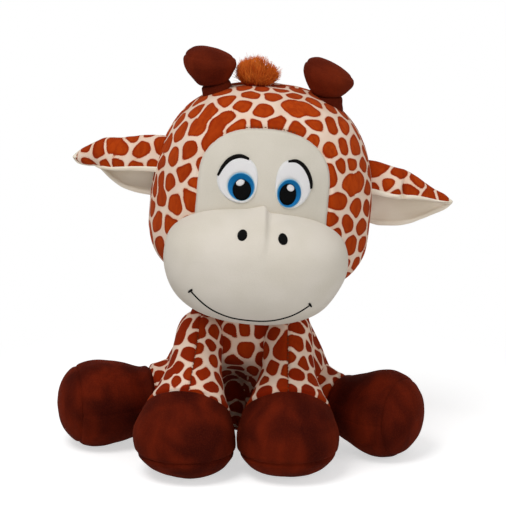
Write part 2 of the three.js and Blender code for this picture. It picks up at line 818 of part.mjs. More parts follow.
// Rows of [share of the tail's reach, share of its drop].
const tailSpineShares = [[0, 0], [0.35, 0.1], [0.75, 0.45], [1, 1]];
const tuftGirthShares = [[0, 0.8], [0.55, 1], [1, 0.5]];
const rumpDepthShare = 0.93;

function addTail() {
  const tail = new THREE.Group();
  tail.position.set(0, rumpBack + bodyHalfDepth * rumpDepthShare, tailRootHeight);
  giraffe.add(tail);
  const form = stuffedForm({
    spine: [
      new THREE.Vector3(0, -tailRootDepth, 0),
      ...tailSpineShares.map(([out, down]) => new THREE.Vector3(0, tailReach * out, -tailDrop * down)),
    ],
    girth: evenGirth(tailRadius, tailRadius),
    roundings: { start: tailRadius, end: tailRadius / 2 },
    profilePower: tailProfilePower,
    sectionPower: roundPower,
    across: new THREE.Vector3(1, 0, 0),
    around: tuftSides,
    rings: tailRings,
  });
  const tuftTop = new THREE.Vector3(0, tailReach, -tailDrop - seamGap);
  const tuftForm = stuffedForm({
    spine: straightSpine(tuftTop, tuftTop.clone().addScaledVector(upward, -tailTuftLength)),
    girth: tuftGirthShares.map(([share, wide]) => [share, tailTuftRadius * wide, tailTuftRadius * wide]),
    roundings: { start: tailTuftRadius, end: tailTuftLength / 2 },
    profilePower: tuftProfilePower,
    sectionPower: roundPower,
    across: new THREE.Vector3(1, 0, 0),
    around: tuftSides,
    rings: tuftRings,
  });
  const stalk = form.grown(0).subtract(inFrame(bodyCutter, giraffe, tail));
  addPiece(tail, 'tail', stalk, spottedPlush);
  addPiece(tail, 'tail_tuft', tuftForm.grown(0), tuftPile);
}

addBody();
addHead();
addMuzzle();
const faceThread = threadLayer(headForm);
addNostrilsAndSmile(threadLayer(muzzleForm));
for (const side of sides) {
  addEye(side, faceThread);
  addEar(side);
  addHorn(side);
  addFrontLeg(side);
  addHindLeg(side);
}
addForelock();
addTail();

// The origin is moved to the middle of the floor space that the toy takes up.
const middle = new THREE.Box3().setFromObject(giraffe, true).getCenter(new THREE.Vector3());
giraffe.position.set(-middle.x, -middle.y, 0);

export default giraffe;
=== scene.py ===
import json
import math

import bpy
import numpy as np
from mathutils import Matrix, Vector, noise


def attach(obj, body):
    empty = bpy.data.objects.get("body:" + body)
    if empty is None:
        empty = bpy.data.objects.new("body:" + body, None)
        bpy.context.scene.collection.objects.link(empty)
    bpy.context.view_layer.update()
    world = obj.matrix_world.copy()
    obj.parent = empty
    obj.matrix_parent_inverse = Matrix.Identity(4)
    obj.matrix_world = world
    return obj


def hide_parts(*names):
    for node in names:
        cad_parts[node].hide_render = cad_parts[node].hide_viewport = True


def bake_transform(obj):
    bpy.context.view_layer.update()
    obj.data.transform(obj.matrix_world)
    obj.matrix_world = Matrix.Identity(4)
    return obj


# A seated plush giraffe, sewn from short-pile cloth. The frame is in metres, +Z up, and the face looks
# along -Y. Left and right are the toy's own. Sizes are in millimetres, as on a sewing pattern.
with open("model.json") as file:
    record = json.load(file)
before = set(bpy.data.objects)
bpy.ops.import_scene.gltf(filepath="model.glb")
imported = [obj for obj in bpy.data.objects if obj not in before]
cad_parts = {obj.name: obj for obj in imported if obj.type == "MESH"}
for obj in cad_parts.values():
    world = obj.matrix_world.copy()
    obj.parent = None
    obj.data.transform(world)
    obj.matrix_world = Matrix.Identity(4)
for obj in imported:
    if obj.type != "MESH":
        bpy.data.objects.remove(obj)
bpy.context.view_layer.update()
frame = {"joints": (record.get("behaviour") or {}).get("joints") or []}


# Body cover
# One pear-shaped bag of short-pile cloth printed with russet spots, sewn from a front and a back panel
# and stuffed with loose fibre. It sits flat on its rump and ends in the ball that the head is sewn to.
MM = 0.001
BODY_HEIGHT = 160
BODY_HALF_WIDTH = 84
BODY_HALF_DEPTH = 62
RUMP_BACK = 26
NECK_BACK = 4
HEAD_SHIFT = 4.5
NECK_DROP = 10
NECK_RADIUS = 42
FLATTENING = 0.5
BODY_HEIGHT_SHARES = [0, 0.32, 0.67, 0.92, 1]
BODY_LEAN_SHARES = [1, 1, 0.55, 0.1, 0]
BODY_GIRTH_SHARES = [
    (0, 0.93, 0.92), (0.16, 1, 1), (0.32, 0.98, 1), (0.51, 0.83, 0.93),
    (0.67, 0.69, 0.82), (0.84, 0.56, 0.66), (1, 0.3, 0.4),
]
BODY_ROUNDINGS = (32, 26)
BODY_PROFILE = 2.6
BODY_SECTION = 2.15
BODY_SEAMS = (0.0, 0.5)
BODY_SEAM_CUT = (1.6, 1.4)
BODY_LUMPS = ((1.1, 34), (0.4, 13))
BODY_COLUMNS = 240
BODY_RINGS = 130
BODY_PRINT = {"spacing": 16.5, "swell": 0.3, "seed": 11}
BELLY_FOLD = 62
BELLY_FOLD_X = -11
BELLY_FOLD_WIDTH = 21
BELLY_FOLD_BACK = 70
BELLY_FOLD_FRONT = -36
BELLY_FOLD_HEIGHTS = (45, 98)
joints = {joint["name"]: joint for joint in frame["joints"]}
neck_centre = np.array([HEAD_SHIFT, NECK_BACK, BODY_HEIGHT - NECK_DROP], float)
neck_joint = np.array(joints["head_nod"]["pos_m"]) / MM
toy_origin = neck_joint - neck_centre


def smooth_run(rows, samples, even=False):
    """Points along a smooth curve through the rows; even steps give each row the same share of the way."""
    rows = np.array(rows, float)
    padded = np.vstack([2 * rows[0] - rows[1], rows, 2 * rows[-1] - rows[-2]])
    place = np.linspace(0, len(rows) - 1, samples)
    first = np.minimum(place.astype(int), len(rows) - 2)
    p0, p1, p2, p3 = (padded[first + k] for k in range(4))
    share = (place - first)[:, None]
    if even:
        slope1, slope2 = (p2 - p0) / 2, (p3 - p1) / 2
    else:
        chords = ((p0, p1), (p1, p2), (p2, p3))
        before, here, after = (np.sqrt(np.linalg.norm(b - a, axis=1, keepdims=True)) for a, b in chords)
        slope1 = ((p1 - p0) / before - (p2 - p0) / (before + here) + (p2 - p1) / here) * here
        slope2 = ((p2 - p1) / here - (p3 - p1) / (here + after) + (p3 - p2) / after) * here
    cubic = 2 * (p1 - p2) + slope1 + slope2
    square = 3 * (p2 - p1) - 2 * slope1 - slope2
    return ((cubic * share + square) * share + slope1) * share + p1


def rounded(distance, length, power):
    """How full a form is at a distance from its end, where the last stretch rounds off."""
    share = np.clip(1 - np.maximum(distance, 0) / length, 0, 1)
    return (1 - share ** power) ** (1 / power)


def eased(value, low, high):
    """A smooth step from 0 at low to 1 at high."""
    share = np.clip((value - low) / (high - low), 0, 1)
    return share * share * (3 - 2 * share)


def oval(turn, power):
    """A point of a squared unit oval, at a share of the way round."""
    angle = 2 * np.pi * np.asarray(turn)
    return tuple(np.sign(f) * np.abs(f) ** (2 / power) for f in (np.cos(angle), np.sin(angle)))


FORM_SAMPLES = 800
FORM_RINGS = 900
ROOT_END = 0.02
TOE_END = 0.998
SIDEWAYS = (1, 0, 0)


class StuffedForm:
    """A stuffed bag: ovals strung on a curved spine and rounded off at both ends."""

    def __init__(self, spine, girth, roundings, profile_power, section_power, across):
        """The girth's rows are a share of the way, a half width, which lies across, and a half depth."""
        self.path = smooth_run(spine, FORM_SAMPLES)
        self.along = np.concatenate([[0], np.cumsum(np.linalg.norm(np.diff(self.path, axis=0), axis=1))])
        self.tangent = np.gradient(self.path, self.along, axis=0)
        self.tangent /= np.linalg.norm(self.tangent, axis=1, keepdims=True)
        depth_axis = np.cross(self.tangent, across)
        self.depth_axis = depth_axis / np.linalg.norm(depth_axis, axis=1, keepdims=True)
        self.width_axis = np.cross(self.depth_axis, self.tangent)
        self.power = section_power
        rows = smooth_run(girth, FORM_SAMPLES, even=True)
        length = self.along[-1]
        self.way = np.clip(rows[:, 0], 0, 1) * length
        near_end = rounded(self.way, roundings[0], profile_power)
        far_end = rounded(length - self.way, roundings[1], profile_power)
        full = near_end * far_end
        self.half_width = rows[:, 1] * full
        self.half_depth = rows[:, 2] * full
        self.places = np.linspace(0, 1, FORM_SAMPLES)

    def on_path(self, values, spot):
        """Values kept for each sample of the spine, read at places along it."""
        return np.stack([np.interp(spot, self.along, values[:, k]) for k in range(3)], axis=-1)

    def spine_at(self, share):
        """The spine's point and direction, at a share of its length."""
        spot = np.array(share * self.along[-1])
        return self.on_path(self.path, spot), self.on_path(self.tangent, spot)

    def surface(self, t, turn):
        """Points of the bag's surface at shares of the way along it and round it."""
        spot = np.interp(t, self.places, self.way)
        x, y = oval(turn, self.power)
        wide = (x * np.interp(t, self.places, self.half_width))[..., None]
        deep = (y * np.interp(t, self.places, self.half_depth))[..., None]
        sideways, outward = self.on_path(self.width_axis, spot), self.on_path(self.depth_axis, spot)
        return self.on_path(self.path, spot) + wide * sideways + deep * outward

    def crossing(self, turns, point, direction):
        """For each turn, the share of the way at which the surface passes a plane."""
        t, turn = np.meshgrid(np.linspace(ROOT_END, 0.999, FORM_RINGS), turns, indexing="ij")
        side = (self.surface(t, turn) - point) @ direction
        last = len(side) - 1 - (side[::-1] < 0).argmax(axis=0)
        row = np.clip(last, 0, len(t) - 2)
        column = np.arange(len(turns))
        a, b = side[row, column], side[row + 1, column]
        return t[row, column] + (t[row + 1, column] - t[row, column]) * a / (a - b)


def ring_places(rings):
    """Shares of the way along a form, closer together near its ends."""
    return (1 - np.cos(np.pi * np.arange(1, rings) / rings)) / 2


SEAM_GRID = 0.0035
SEAM_STEPS = (0, 0.35, 0.8, 1.5)


def turn_places(count, seams=()):
    """Shares of the way round a form, with extra ones close beside each seam."""
    beside = [side * SEAM_GRID * step for side in (-1, 1) for step in SEAM_STEPS]
    extra = [(seam + shift) % 1 for seam in seams for shift in beside]
    return np.unique(np.round(np.concatenate([np.arange(count) / count, extra]), 6))


def skin(points, wrap=True, caps=(True, True)):
    """Corners and faces of a grid of points whose rows are rings, closed at its ends where caps says."""
    rings, columns = points.shape[:2]
    corners = [points.reshape(-1, 3)]
    faces = []
    across = range(columns if wrap else columns - 1)
    for i in range(rings - 1):
        for j in across:
            k = (j + 1) % columns
            faces.append((i * columns + j, i * columns + k, (i + 1) * columns + k, (i + 1) * columns + j))
    count = rings * columns
    for end, row in enumerate((0, rings - 1)):
        if not caps[end]:
            continue
        corners.append(points[row].mean(axis=0)[None])
        for j in across:
            pair = (row * columns + (j + 1) % columns, row * columns + j)
            faces.append((count, *(pair if end == 0 else pair[::-1])))
        count += 1
    return np.concatenate(corners), faces


def normals_of(corners, faces):
    """The direction that the surface faces at each corner."""
    padded = np.array([face if len(face) == 4 else (*face, face[2]) for face in faces])
    a, b, c, d = (corners[padded[:, k]] for k in range(4))
    flat = np.cross(c - a, d - b)
    out = np.zeros_like(corners)
    for k in range(4):
        np.add.at(out, padded[:, k], flat)
    return out / np.maximum(np.linalg.norm(out, axis=1, keepdims=True), 1e-9)


LUMPS_SEED = 5
noise.seed_set(LUMPS_SEED)


def lumps(corners, size, seed):
    """Smooth random heights, from -1 to 1, whose bumps are about this size."""
    offset = Vector((seed * 7.31, seed * 3.17, seed * 5.73))
    return np.array([noise.noise(Vector(p) / size + offset) for p in corners])


def stuffing(corners, seed, broad, small):
    """Heights of the lumps that the filling makes, broad ones and small ones, each a height and a size."""
    return broad[0] * lumps(corners, broad[1], seed) + small[0] * lumps(corners, small[1], seed + 1)


def drift(corners, size, seed):
    """Smooth random sideways shifts of length up to about 1, the same on every run because of the seed."""
    offset = Vector((seed * 4.11, seed * 9.23, seed * 2.37))
    return np.array([noise.noise_vector(Vector(p) / size + offset) for p in corners])


def soft_least(distances, softness):
    """The least of each row, with the corners between equal ones rounded off."""
    least = distances.min(axis=1)
    return least - softness * np.log(np.exp(-(distances - least[:, None]) / softness).sum(axis=1))


SPOT_WANDER = (3.0, 22)
SPOT_QUIVER = (0.9, 8)
SPOT_WOBBLE = (0.8, 7)
SPOTS_APART = (0.78, 1.12)
SPOT_REACHES = (0.56, 0.8)
SPOT_STRETCH = 0.5
SPOTS_JOINED = 0.07
JOINED_ROUNDING = 5.0
GAP_ROUNDING = 1.8
EDGE_ROUNDING = 1.0
NOT_MINE = 99
CORNERS_AT_ONCE = 3000


def spot_field(corners, spacing, seed):
    """How far inside its printed spot each corner lies, in millimetres, and a shade number for the spot."""
    rng = np.random.default_rng(seed)
    warped = corners + SPOT_WANDER[0] * drift(corners, SPOT_WANDER[1], seed)
    warped = warped + SPOT_QUIVER[0] * drift(corners, SPOT_QUIVER[1], seed + 1)
    seeds = np.zeros((0, 3))
    for p in warped[rng.permutation(len(warped))]:
        apart = spacing * rng.uniform(*SPOTS_APART)
        if len(seeds) == 0 or ((seeds - p) ** 2).sum(axis=1).min() > apart ** 2:
            seeds = np.vstack([seeds, p])
    axes = rng.normal(size=seeds.shape)
    axes /= np.linalg.norm(axes, axis=1, keepdims=True)
    stretch = rng.uniform(0, SPOT_STRETCH, len(seeds))
    reach = spacing * rng.uniform(*SPOT_REACHES, len(seeds))
    shade = rng.random(len(seeds))
    group = np.arange(len(seeds))
    for i in np.flatnonzero(rng.random(len(seeds)) < SPOTS_JOINED):
        away = np.linalg.norm(seeds - seeds[i], axis=1)
        away[i] = np.inf
        near = int(np.argmin(away))
        if (group == group[near]).sum() == 1 and (group == group[i]).sum() == 1:
            group[near] = i
    field = np.zeros(len(warped))
    tone = np.zeros(len(warped))
    for start in range(0, len(warped), CORNERS_AT_ONCE):
        rows = slice(start, start + CORNERS_AT_ONCE)
        off = warped[rows, None] - seeds[None]
        along = (off * axes).sum(axis=2)
        away = np.sqrt((off ** 2).sum(axis=2) - stretch * along ** 2)
        nearest = away.argmin(axis=1)
        mine = group[None] == group[nearest][:, None]
        own = soft_least(np.where(mine, away, NOT_MINE), JOINED_ROUNDING)
        others = soft_least(np.where(mine, NOT_MINE, away), GAP_ROUNDING)
        inside = np.stack([(others - own) / 2, reach[nearest] - own], axis=1)
        field[rows] = soft_least(inside, EDGE_ROUNDING)
        tone[rows] = shade[group[nearest]]
    return field + SPOT_WOBBLE[0] * lumps(warped, SPOT_WOBBLE[1], seed + 2), tone


def add_mesh(name, corners, faces, material, values=None, corner_values=None):
    """A smooth-shaded mesh in metres, from millimetres in the toy's frame, with named numbers on it."""
    mesh = bpy.data.meshes.new(name)
    mesh.from_pydata(((corners + toy_origin) * MM).tolist(), [], [list(face) for face in faces])
    mesh.polygons.foreach_set("use_smooth", [True] * len(mesh.polygons))
    for key, data in (values or {}).items():
        mesh.attributes.new(key, "FLOAT", "POINT").data.foreach_set("value", np.asarray(data, np.float32))
    for key, data in (corner_values or {}).items():
        mesh.attributes.new(key, "FLOAT", "CORNER").data.foreach_set("value", np.asarray(data, np.float32))
    mesh.materials.append(material)
    piece = bpy.data.objects.new(name, mesh)
    bpy.context.scene.collection.objects.link(piece)
    return piece


PANEL_SEEDS = 31
# Spot tones kept to the dark end of the russet range: painted shade on the body, legs and tail.
SHADED_PIECE_TONES = (0.0, 0.45)


def printed(corners, faces, panels, spacing, swell, seed, painted_light_tones=SHADED_PIECE_TONES):
    """Spot numbers for each face corner, where every sewn panel is cut from its own stretch of print. Each
    piece keeps its spots' tones within its own range: painted shade on shaded pieces, painted light on lit
    ones.
    """
    owner = np.repeat(panels, [len(face) for face in faces])
    flat = np.concatenate([list(face) for face in faces]).astype(int)
    spots = np.zeros(len(flat))
    tones = np.zeros(len(flat))
    for panel in np.unique(panels):
        mine = owner == panel
        used, back = np.unique(flat[mine], return_inverse=True)
        field, tone = spot_field(corners[used], spacing, seed + PANEL_SEEDS * int(panel))
        spots[mine] = field[back] + swell
        tones[mine] = painted_light_tones[0] + (painted_light_tones[1] - painted_light_tones[0]) * tone[back]
    return {"spots": spots, "tone": tones}


def panels_of(turns, seams, rings, caps):
    """The panel number of each face of a skin, where the seams run along it at these turns."""
    middles = (turns + np.append(turns[1:], turns[0] + 1)) / 2
    row = np.searchsorted(sorted(seams), middles % 1) % len(seams)
    return np.tile(row, rings - 1 + caps)


def add_socket(tree, name, kind, side, default=None):
    """Gives a node group a named input or output."""
    socket = tree.interface.new_socket(name=name, in_out=side, socket_type=kind)
    if default is not None:
        socket.default_value = default


def node(tree, kind, **settings):
    """A new shader node with its settings."""
    made = tree.nodes.new(kind)
    for key, value in settings.items():
        setattr(made, key, value)
    return made


def join(tree, source, target):
    """Links one node's output to another's input."""
    tree.links.new(source, target)


def maths(tree, operation, a, b=None):
    """A sum of one or two values, each a number or another node's output."""
    made = node(tree, "ShaderNodeMath", operation=operation)
    for k, value in enumerate((a, b)):
        if value is None:
            continue
        if isinstance(value, (int, float)):
            made.inputs[k].default_value = value
        else:
            join(tree, value, made.inputs[k])
    return made.outputs[0]


def ramp(tree, value, low, high):
    """A smooth step from 0 where the value is low to 1 where it is high."""
    made = node(tree, "ShaderNodeMapRange", interpolation_type="SMOOTHSTEP")
    made.inputs["From Min"].default_value = low
    made.inputs["From Max"].default_value = high
    join(tree, value, made.inputs["Value"])
    return made.outputs["Result"]


def mix_colours(tree, share, a, b, blend="MIX"):
    """Colour a where the share is 0 and colour b where it is 1."""
    made = node(tree, "ShaderNodeMix", data_type="RGBA", blend_type=blend)
    for key, value in ((0, share), (6, a), (7, b)):
        if isinstance(value, (int, float)):
            made.inputs[key].default_value = value
        elif isinstance(value, tuple):
            made.inputs[key].default_value = (*value, 1)
        else:
            join(tree, value, made.inputs[key])
    return made.outputs[2]


def ink(code):
    """A colour written as on a screen, in the linear light that shaders use."""
    parts = [int(code[k:k + 2], 16) / 255 for k in (1, 3, 5)]
    return tuple(p / 12.92 if p <= 0.04045 else ((p + 0.055) / 1.055) ** 2.4 for p in parts)


TUFT_DENSITY = 0.28
STROKE_DENSITY = 3.2
STROKE_DRAWN = (1, 1, 0.3)


def build_nap_group():
    """The brushed pile: fine fibres, and soft patches where the pile lies another way."""
    tree = bpy.data.node_groups.new("Brushed nap", "ShaderNodeTree")
    add_socket(tree, "Fibre density", "NodeSocketFloat", "INPUT", 1300)
    add_socket(tree, "Patch density", "NodeSocketFloat", "INPUT", 70)
    add_socket(tree, "Height", "NodeSocketFloat", "OUTPUT")
    add_socket(tree, "Patches", "NodeSocketFloat", "OUTPUT")
    add_socket(tree, "Strokes", "NodeSocketFloat", "OUTPUT")
    add_socket(tree, "Fibres", "NodeSocketFloat", "OUTPUT")
    inside = node(tree, "NodeGroupInput")
    outside = node(tree, "NodeGroupOutput")
    place = node(tree, "ShaderNodeTexCoord").outputs["Object"]
    drawn = node(tree, "ShaderNodeVectorMath", operation="MULTIPLY")
    drawn.inputs[1].default_value = STROKE_DRAWN
    join(tree, place, drawn.inputs[0])

    def cloud(density, detail, vector=place, distortion=0.0):
        """Smooth random patches, about as many to a metre as density says."""
        made = node(tree, "ShaderNodeTexNoise")
        made.inputs["Detail"].default_value = detail
        made.inputs["Roughness"].default_value = 0.55
        made.inputs["Distortion"].default_value = distortion
        join(tree, vector, made.inputs["Vector"])
        join(tree, density, made.inputs["Scale"])
        return made.outputs["Fac"]

    fibre_density, patch_density = inside.outputs["Fibre density"], inside.outputs["Patch density"]
    fibres = cloud(fibre_density, 2)
    tufts = cloud(maths(tree, "MULTIPLY", fibre_density, TUFT_DENSITY), 3)
    patches = cloud(patch_density, 1, distortion=0.3)
    strokes = cloud(maths(tree, "MULTIPLY", patch_density, STROKE_DENSITY), 2, drawn.outputs["Vector"], 0.5)
    height = maths(tree, "ADD", maths(tree, "MULTIPLY", fibres, 0.6), maths(tree, "MULTIPLY", tufts, 0.7))
    join(tree, height, outside.inputs["Height"])
    join(tree, ramp(tree, patches, 0.3, 0.7), outside.inputs["Patches"])
    join(tree, ramp(tree, strokes, 0.3, 0.72), outside.inputs["Strokes"])
    join(tree, fibres, outside.inputs["Fibres"])
    return tree


nap_group = build_nap_group()
CLOTH_SHINE = 0.03
SHEEN_ROUGHNESS = 0.45
BUMP_STRENGTH = 0.5


def blank_material(name, roughness):
    """A new material with the dull surface of cloth."""
    material = bpy.data.materials.new(name)
    material.use_nodes = True
    shader = material.node_tree.nodes["Principled BSDF"]
    shader.inputs["Roughness"].default_value = roughness
    shader.inputs["Specular IOR Level"].default_value = CLOTH_SHINE
    return material, material.node_tree, shader


def add_nap(tree, shader, fibre, patch, depth, sheen, sheen_tint):
    """Puts the brushed nap on a material: its bump, and the sheen where the pile is seen from the side."""
    nap = node(tree, "ShaderNodeGroup", node_tree=nap_group)
    nap.inputs["Fibre density"].default_value = fibre
    nap.inputs["Patch density"].default_value = patch
    bump = node(tree, "ShaderNodeBump")
    bump.inputs["Strength"].default_value = BUMP_STRENGTH
    bump.inputs["Distance"].default_value = depth
    join(tree, nap.outputs["Height"], bump.inputs["Height"])
    join(tree, bump.outputs["Normal"], shader.inputs["Normal"])
    shader.inputs["Sheen Weight"].default_value = sheen
    shader.inputs["Sheen Roughness"].default_value = SHEEN_ROUGHNESS
    shader.inputs["Sheen Tint"].default_value = (*sheen_tint, 1)
    return nap


SPOT_GAP = 1.6
CREAM_GROUND = ("#e3c8b4", "#ead3c1")
BLED_INK = "#e8a77c"
RUSSETS = ("#801e06", "#b9450f")
STROKED_RUSSET = "#7e1c04"
RIM_RUSSET = "#861f06"


def spotted_plush():
    """Cream pile printed with russet spots, whose ink bleeds a little into the pile."""
    material, tree, shader = blank_material("spotted plush", 0.9)
    nap = add_nap(tree, shader, fibre=1300, patch=60, depth=0.0007, sheen=0.06, sheen_tint=ink("#f0c4a0"))
    inside = node(tree, "ShaderNodeAttribute", attribute_name="spots").outputs["Fac"]
    tone = node(tree, "ShaderNodeAttribute", attribute_name="tone").outputs["Fac"]
    fuzz = maths(tree, "MULTIPLY", maths(tree, "SUBTRACT", nap.outputs["Fibres"], 0.5), 0.9)
    fuzzy = maths(tree, "ADD", inside, fuzz)
    mask = ramp(tree, fuzzy, SPOT_GAP - 0.2, SPOT_GAP + 0.25)
    bleed = ramp(tree, fuzzy, SPOT_GAP - 1.1, SPOT_GAP)
    core = ramp(tree, inside, SPOT_GAP, SPOT_GAP + 2.4)
    cream = mix_colours(tree, nap.outputs["Patches"], *(ink(code) for code in CREAM_GROUND))
    haloed = mix_colours(tree, maths(tree, "MULTIPLY", bleed, 0.5), cream, ink(BLED_INK))
    # The russet runs from dark to light with each spot's tone. The pieces' tone ranges make this painted
    # shade on the body, legs and tail, and painted light on the head.
    russet = mix_colours(tree, tone, *(ink(code) for code in RUSSETS))
    strokes = maths(tree, "MULTIPLY", nap.outputs["Strokes"], 0.4)
    brushed = mix_colours(tree, strokes, russet, ink(STROKED_RUSSET))
    full_ink = maths(tree, "ADD", maths(tree, "MULTIPLY", core, 0.7), 0.3)
    rimmed = mix_colours(tree, full_ink, ink(RIM_RUSSET), brushed)
    colour = mix_colours(tree, mask, haloed, rimmed)
    join(tree, colour, shader.inputs["Base Color"])
    return material


spotted = spotted_plush()
SEAM_SWELL = 0.22
SWELL_AWAY = 2.6
SWELL_WIDTH = 1.6


def bell(x, height, middle, width):
    """A smooth bump of this height, with its middle and its width along x."""
    return height * np.exp(-((x - middle) / width) ** 2)


def seam_dip(away, depth, width):
    """The valley that a seam draws into stuffed cloth, at a distance from it in millimetres."""
    beside = bell(away, SEAM_SWELL, SWELL_AWAY * width, SWELL_WIDTH * width)
    return depth * (beside - bell(away, 1, 0, width))


def pucker(corners, seed, height, size):
    """How hard the thread draws the cloth in, which wavers along a seam."""
    return 1 + height * lumps(corners, size, seed)


def round_trip(turn, seam, girth):
    """Millimetres round a form from a seam that runs along it."""
    return np.abs((turn - seam + 0.5) % 1 - 0.5) * girth


def on_floor(corners):
    """Cloth that rests on the floor lies flat on it."""
    corners[:, 2] = np.maximum(corners[:, 2], 0)
    return corners


def make_body():
    """The bag leans back from the neck to the rump, and is folded in between the front legs."""
    spine = [
        (HEAD_SHIFT * h, NECK_BACK + (RUMP_BACK - NECK_BACK) * lean, BODY_HEIGHT * h - FLATTENING)
        for h, lean in zip(BODY_HEIGHT_SHARES, BODY_LEAN_SHARES)
    ]
    girth = [(s, BODY_HALF_WIDTH * w, BODY_HALF_DEPTH * d) for s, w, d in BODY_GIRTH_SHARES]
    form = StuffedForm(spine, girth, BODY_ROUNDINGS, BODY_PROFILE, BODY_SECTION, SIDEWAYS)
    turns = turn_places(BODY_COLUMNS, BODY_SEAMS)
    t, turn = np.meshgrid(ring_places(BODY_RINGS), turns, indexing="ij")
    corners, faces = skin(form.surface(t, turn))
    forward = (BELLY_FOLD_BACK - corners[:, 1]) / (BELLY_FOLD_BACK - BELLY_FOLD_FRONT)
    between_legs = bell(corners[:, 0], 1, BELLY_FOLD_X, BELLY_FOLD_WIDTH) * np.clip(forward, 0, 1)
    corners[:, 1] += BELLY_FOLD * between_legs * (1 - eased(corners[:, 2], *BELLY_FOLD_HEIGHTS))
    around = np.concatenate([turn.ravel(), [0, 0]])
    off = corners - neck_centre
    reach = np.linalg.norm(off, axis=1)
    inside = (corners[:, 2] > BODY_HEIGHT / 2) & (reach < NECK_RADIUS)
    corners[inside] = neck_centre + off[inside] * (NECK_RADIUS / np.maximum(reach[inside], 1))[:, None]
    away = np.minimum(*(round_trip(around, seam, 2 * math.pi * BODY_HALF_WIDTH) for seam in BODY_SEAMS))
    relief = seam_dip(away, *BODY_SEAM_CUT) + stuffing(corners, 1, *BODY_LUMPS)
    corners = on_floor(corners + normals_of(corners, faces) * relief[:, None])
    panels = panels_of(turns, BODY_SEAMS, len(t), 2)
    numbers = printed(corners, faces, panels, **BODY_PRINT)
    piece = add_mesh("body_cloth", corners, faces, spotted, corner_values=numbers)
    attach(piece, "body")
    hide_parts("body_cover", "body_filling")


make_body()


# Hind and front legs
# Each leg is a stuffed sleeve of spotted cloth ending in a big brown shoe, with an oval sole sewn under it.
# A ring seam joins sleeve and shoe. The sleeve has a seam up its front, sewn with brown thread that shows on
# the front legs, and its top is sewn to the body.
HIP_SPREAD = 42
HIP_BACK = 24
HIP_HEIGHT = 44
HIND_LENGTH = 132
HIND_HALF_WIDTH = 41
HIND_HALF_HEIGHT = 39.5
HIND_SOLE = 18
HIND_ANKLE_SHARES = {"left": 0.38, "right": 0.34}
HIND_SPINE_SHARES = [(0, 0), (0.35, 0.5), (0.7, 1), (1, 1)]
HIND_GIRTH_SHARES = [
    (0, 0.95, 0.98), (0.16, 0.84, 0.88), (0.37, 0.64, 0.65), (0.52, 0.79, 0.79),
    (0.69, 0.98, 0.98), (0.85, 1, 1), (1, 0.97, 0.97),
]
HIND_ANKLE_SWELLS = {"left": 0, "right": 0.08}
ANKLE_GIRTH = 0.8
HIND_TURNS = {"left": 31, "right": 11}
HIND_ROUNDING = 40
HIND_SEAMS = (0.0, 0.5)
HIND_SOLE_CUT = 0.8
HIND_CUFF = (0, 0)
HIND_COLUMNS = 140
HIND_SEEDS = {"left": 207, "right": 193}
SHOULDER_SPREAD = 38
SHOULDER_BACK = -8
SHOULDER_DROP = 32
FRONT_REACH = 76
FRONT_HALF_WIDTH = 47
FRONT_HALF_LENGTH = 46
FRONT_SOLE = 22
FRONT_ANKLE_SHARE = 0.6
FRONT_SPINE_SHARES = [(0, 1), (0.23, 0.844), (0.48, 0.64), (0.71, 0.445), (0.92, 0.26), (1, 0)]
FRONT_GIRTH_SHARES = [
    (0, 0.44, 0.46), (0.3, 0.49, 0.52), (0.47, 0.62, 0.63),
    (0.62, 0.82, 0.82), (0.78, 0.98, 0.98), (1, 1, 1),
]
FRONT_SPREADS = {"left": 37.5, "right": 59.5}
FRONT_ROUNDING = 42
FRONT_SEAMS = (0.25, 0.75)
FRONT_SOLE_CUT = 1.6
FRONT_CUFF = (3, np.array([0, -0.4, 0]))
FRONT_COLUMNS = 150
FRONT_SEEDS = {"left": 107, "right": 93}
LEG_PROFILE = 2.3
LEG_SECTION = 2.1
LEG_LUMPS = ((0.8, 27), (0.35, 11))
LEG_PUCKER = (0.35, 4.5)
LEG_PRINT = {"spacing": 16, "swell": 0.4}
SIDES = {"left": 1, "right": -1}
UP = np.array([0.0, 0.0, 1.0])
SEAM_DEPTH = 2.2
SEAM_WIDTH = 1.7
LONG_SEAM_WIDTH = 1.3
SLEEVE_SEAM_DEPTH = 1.1
SHOE_SEAM_DEPTH = 0.3
TUCK = 4.0
FAR_AWAY = 1e3
SLEEVE_STITCH = {"length": 2.2, "pitch": 3.4, "radius": 0.45, "lift": 0.8}
STITCHED_BELOW = 120
THIN_GIRTH = 30
BROWNS = ("#360b06", "#651c0a")
BROWN_TIP = "#8c3818"
BROWN_THREAD = "#6a3a20"


def brown_plush(name, deep, pale):
    """Deep brown pile, mottled where hands have brushed it, and paler where it is seen from the side."""
    material, tree, shader = blank_material(name, 0.85)
    nap = add_nap(tree, shader, fibre=1100, patch=30, depth=0.0008, sheen=0.09, sheen_tint=ink("#b0481e"))
    brushed = mix_colours(tree, nap.outputs["Patches"], ink(deep), ink(pale))
    stroked = mix_colours(tree, maths(tree, "MULTIPLY", nap.outputs["Strokes"], 0.4), brushed, ink(deep))
    speckled = maths(tree, "MULTIPLY", ramp(tree, nap.outputs["Fibres"], 0.4, 0.8), 0.15)
    join(tree, mix_colours(tree, speckled, stroked, ink(BROWN_TIP)), shader.inputs["Base Color"])
    return material


brown = brown_plush("brown plush", *BROWNS)


def edge_places(count, start_seam, end_seam):
    """Shares from 0 to 1 that crowd towards each end that is a seam."""
    even = np.linspace(0, 1, count)
    if start_seam and end_seam:
        return (1 - np.cos(np.pi * even)) / 2
    if end_seam:
        return np.sin(np.pi / 2 * even)
    return 1 - np.cos(np.pi / 2 * even)


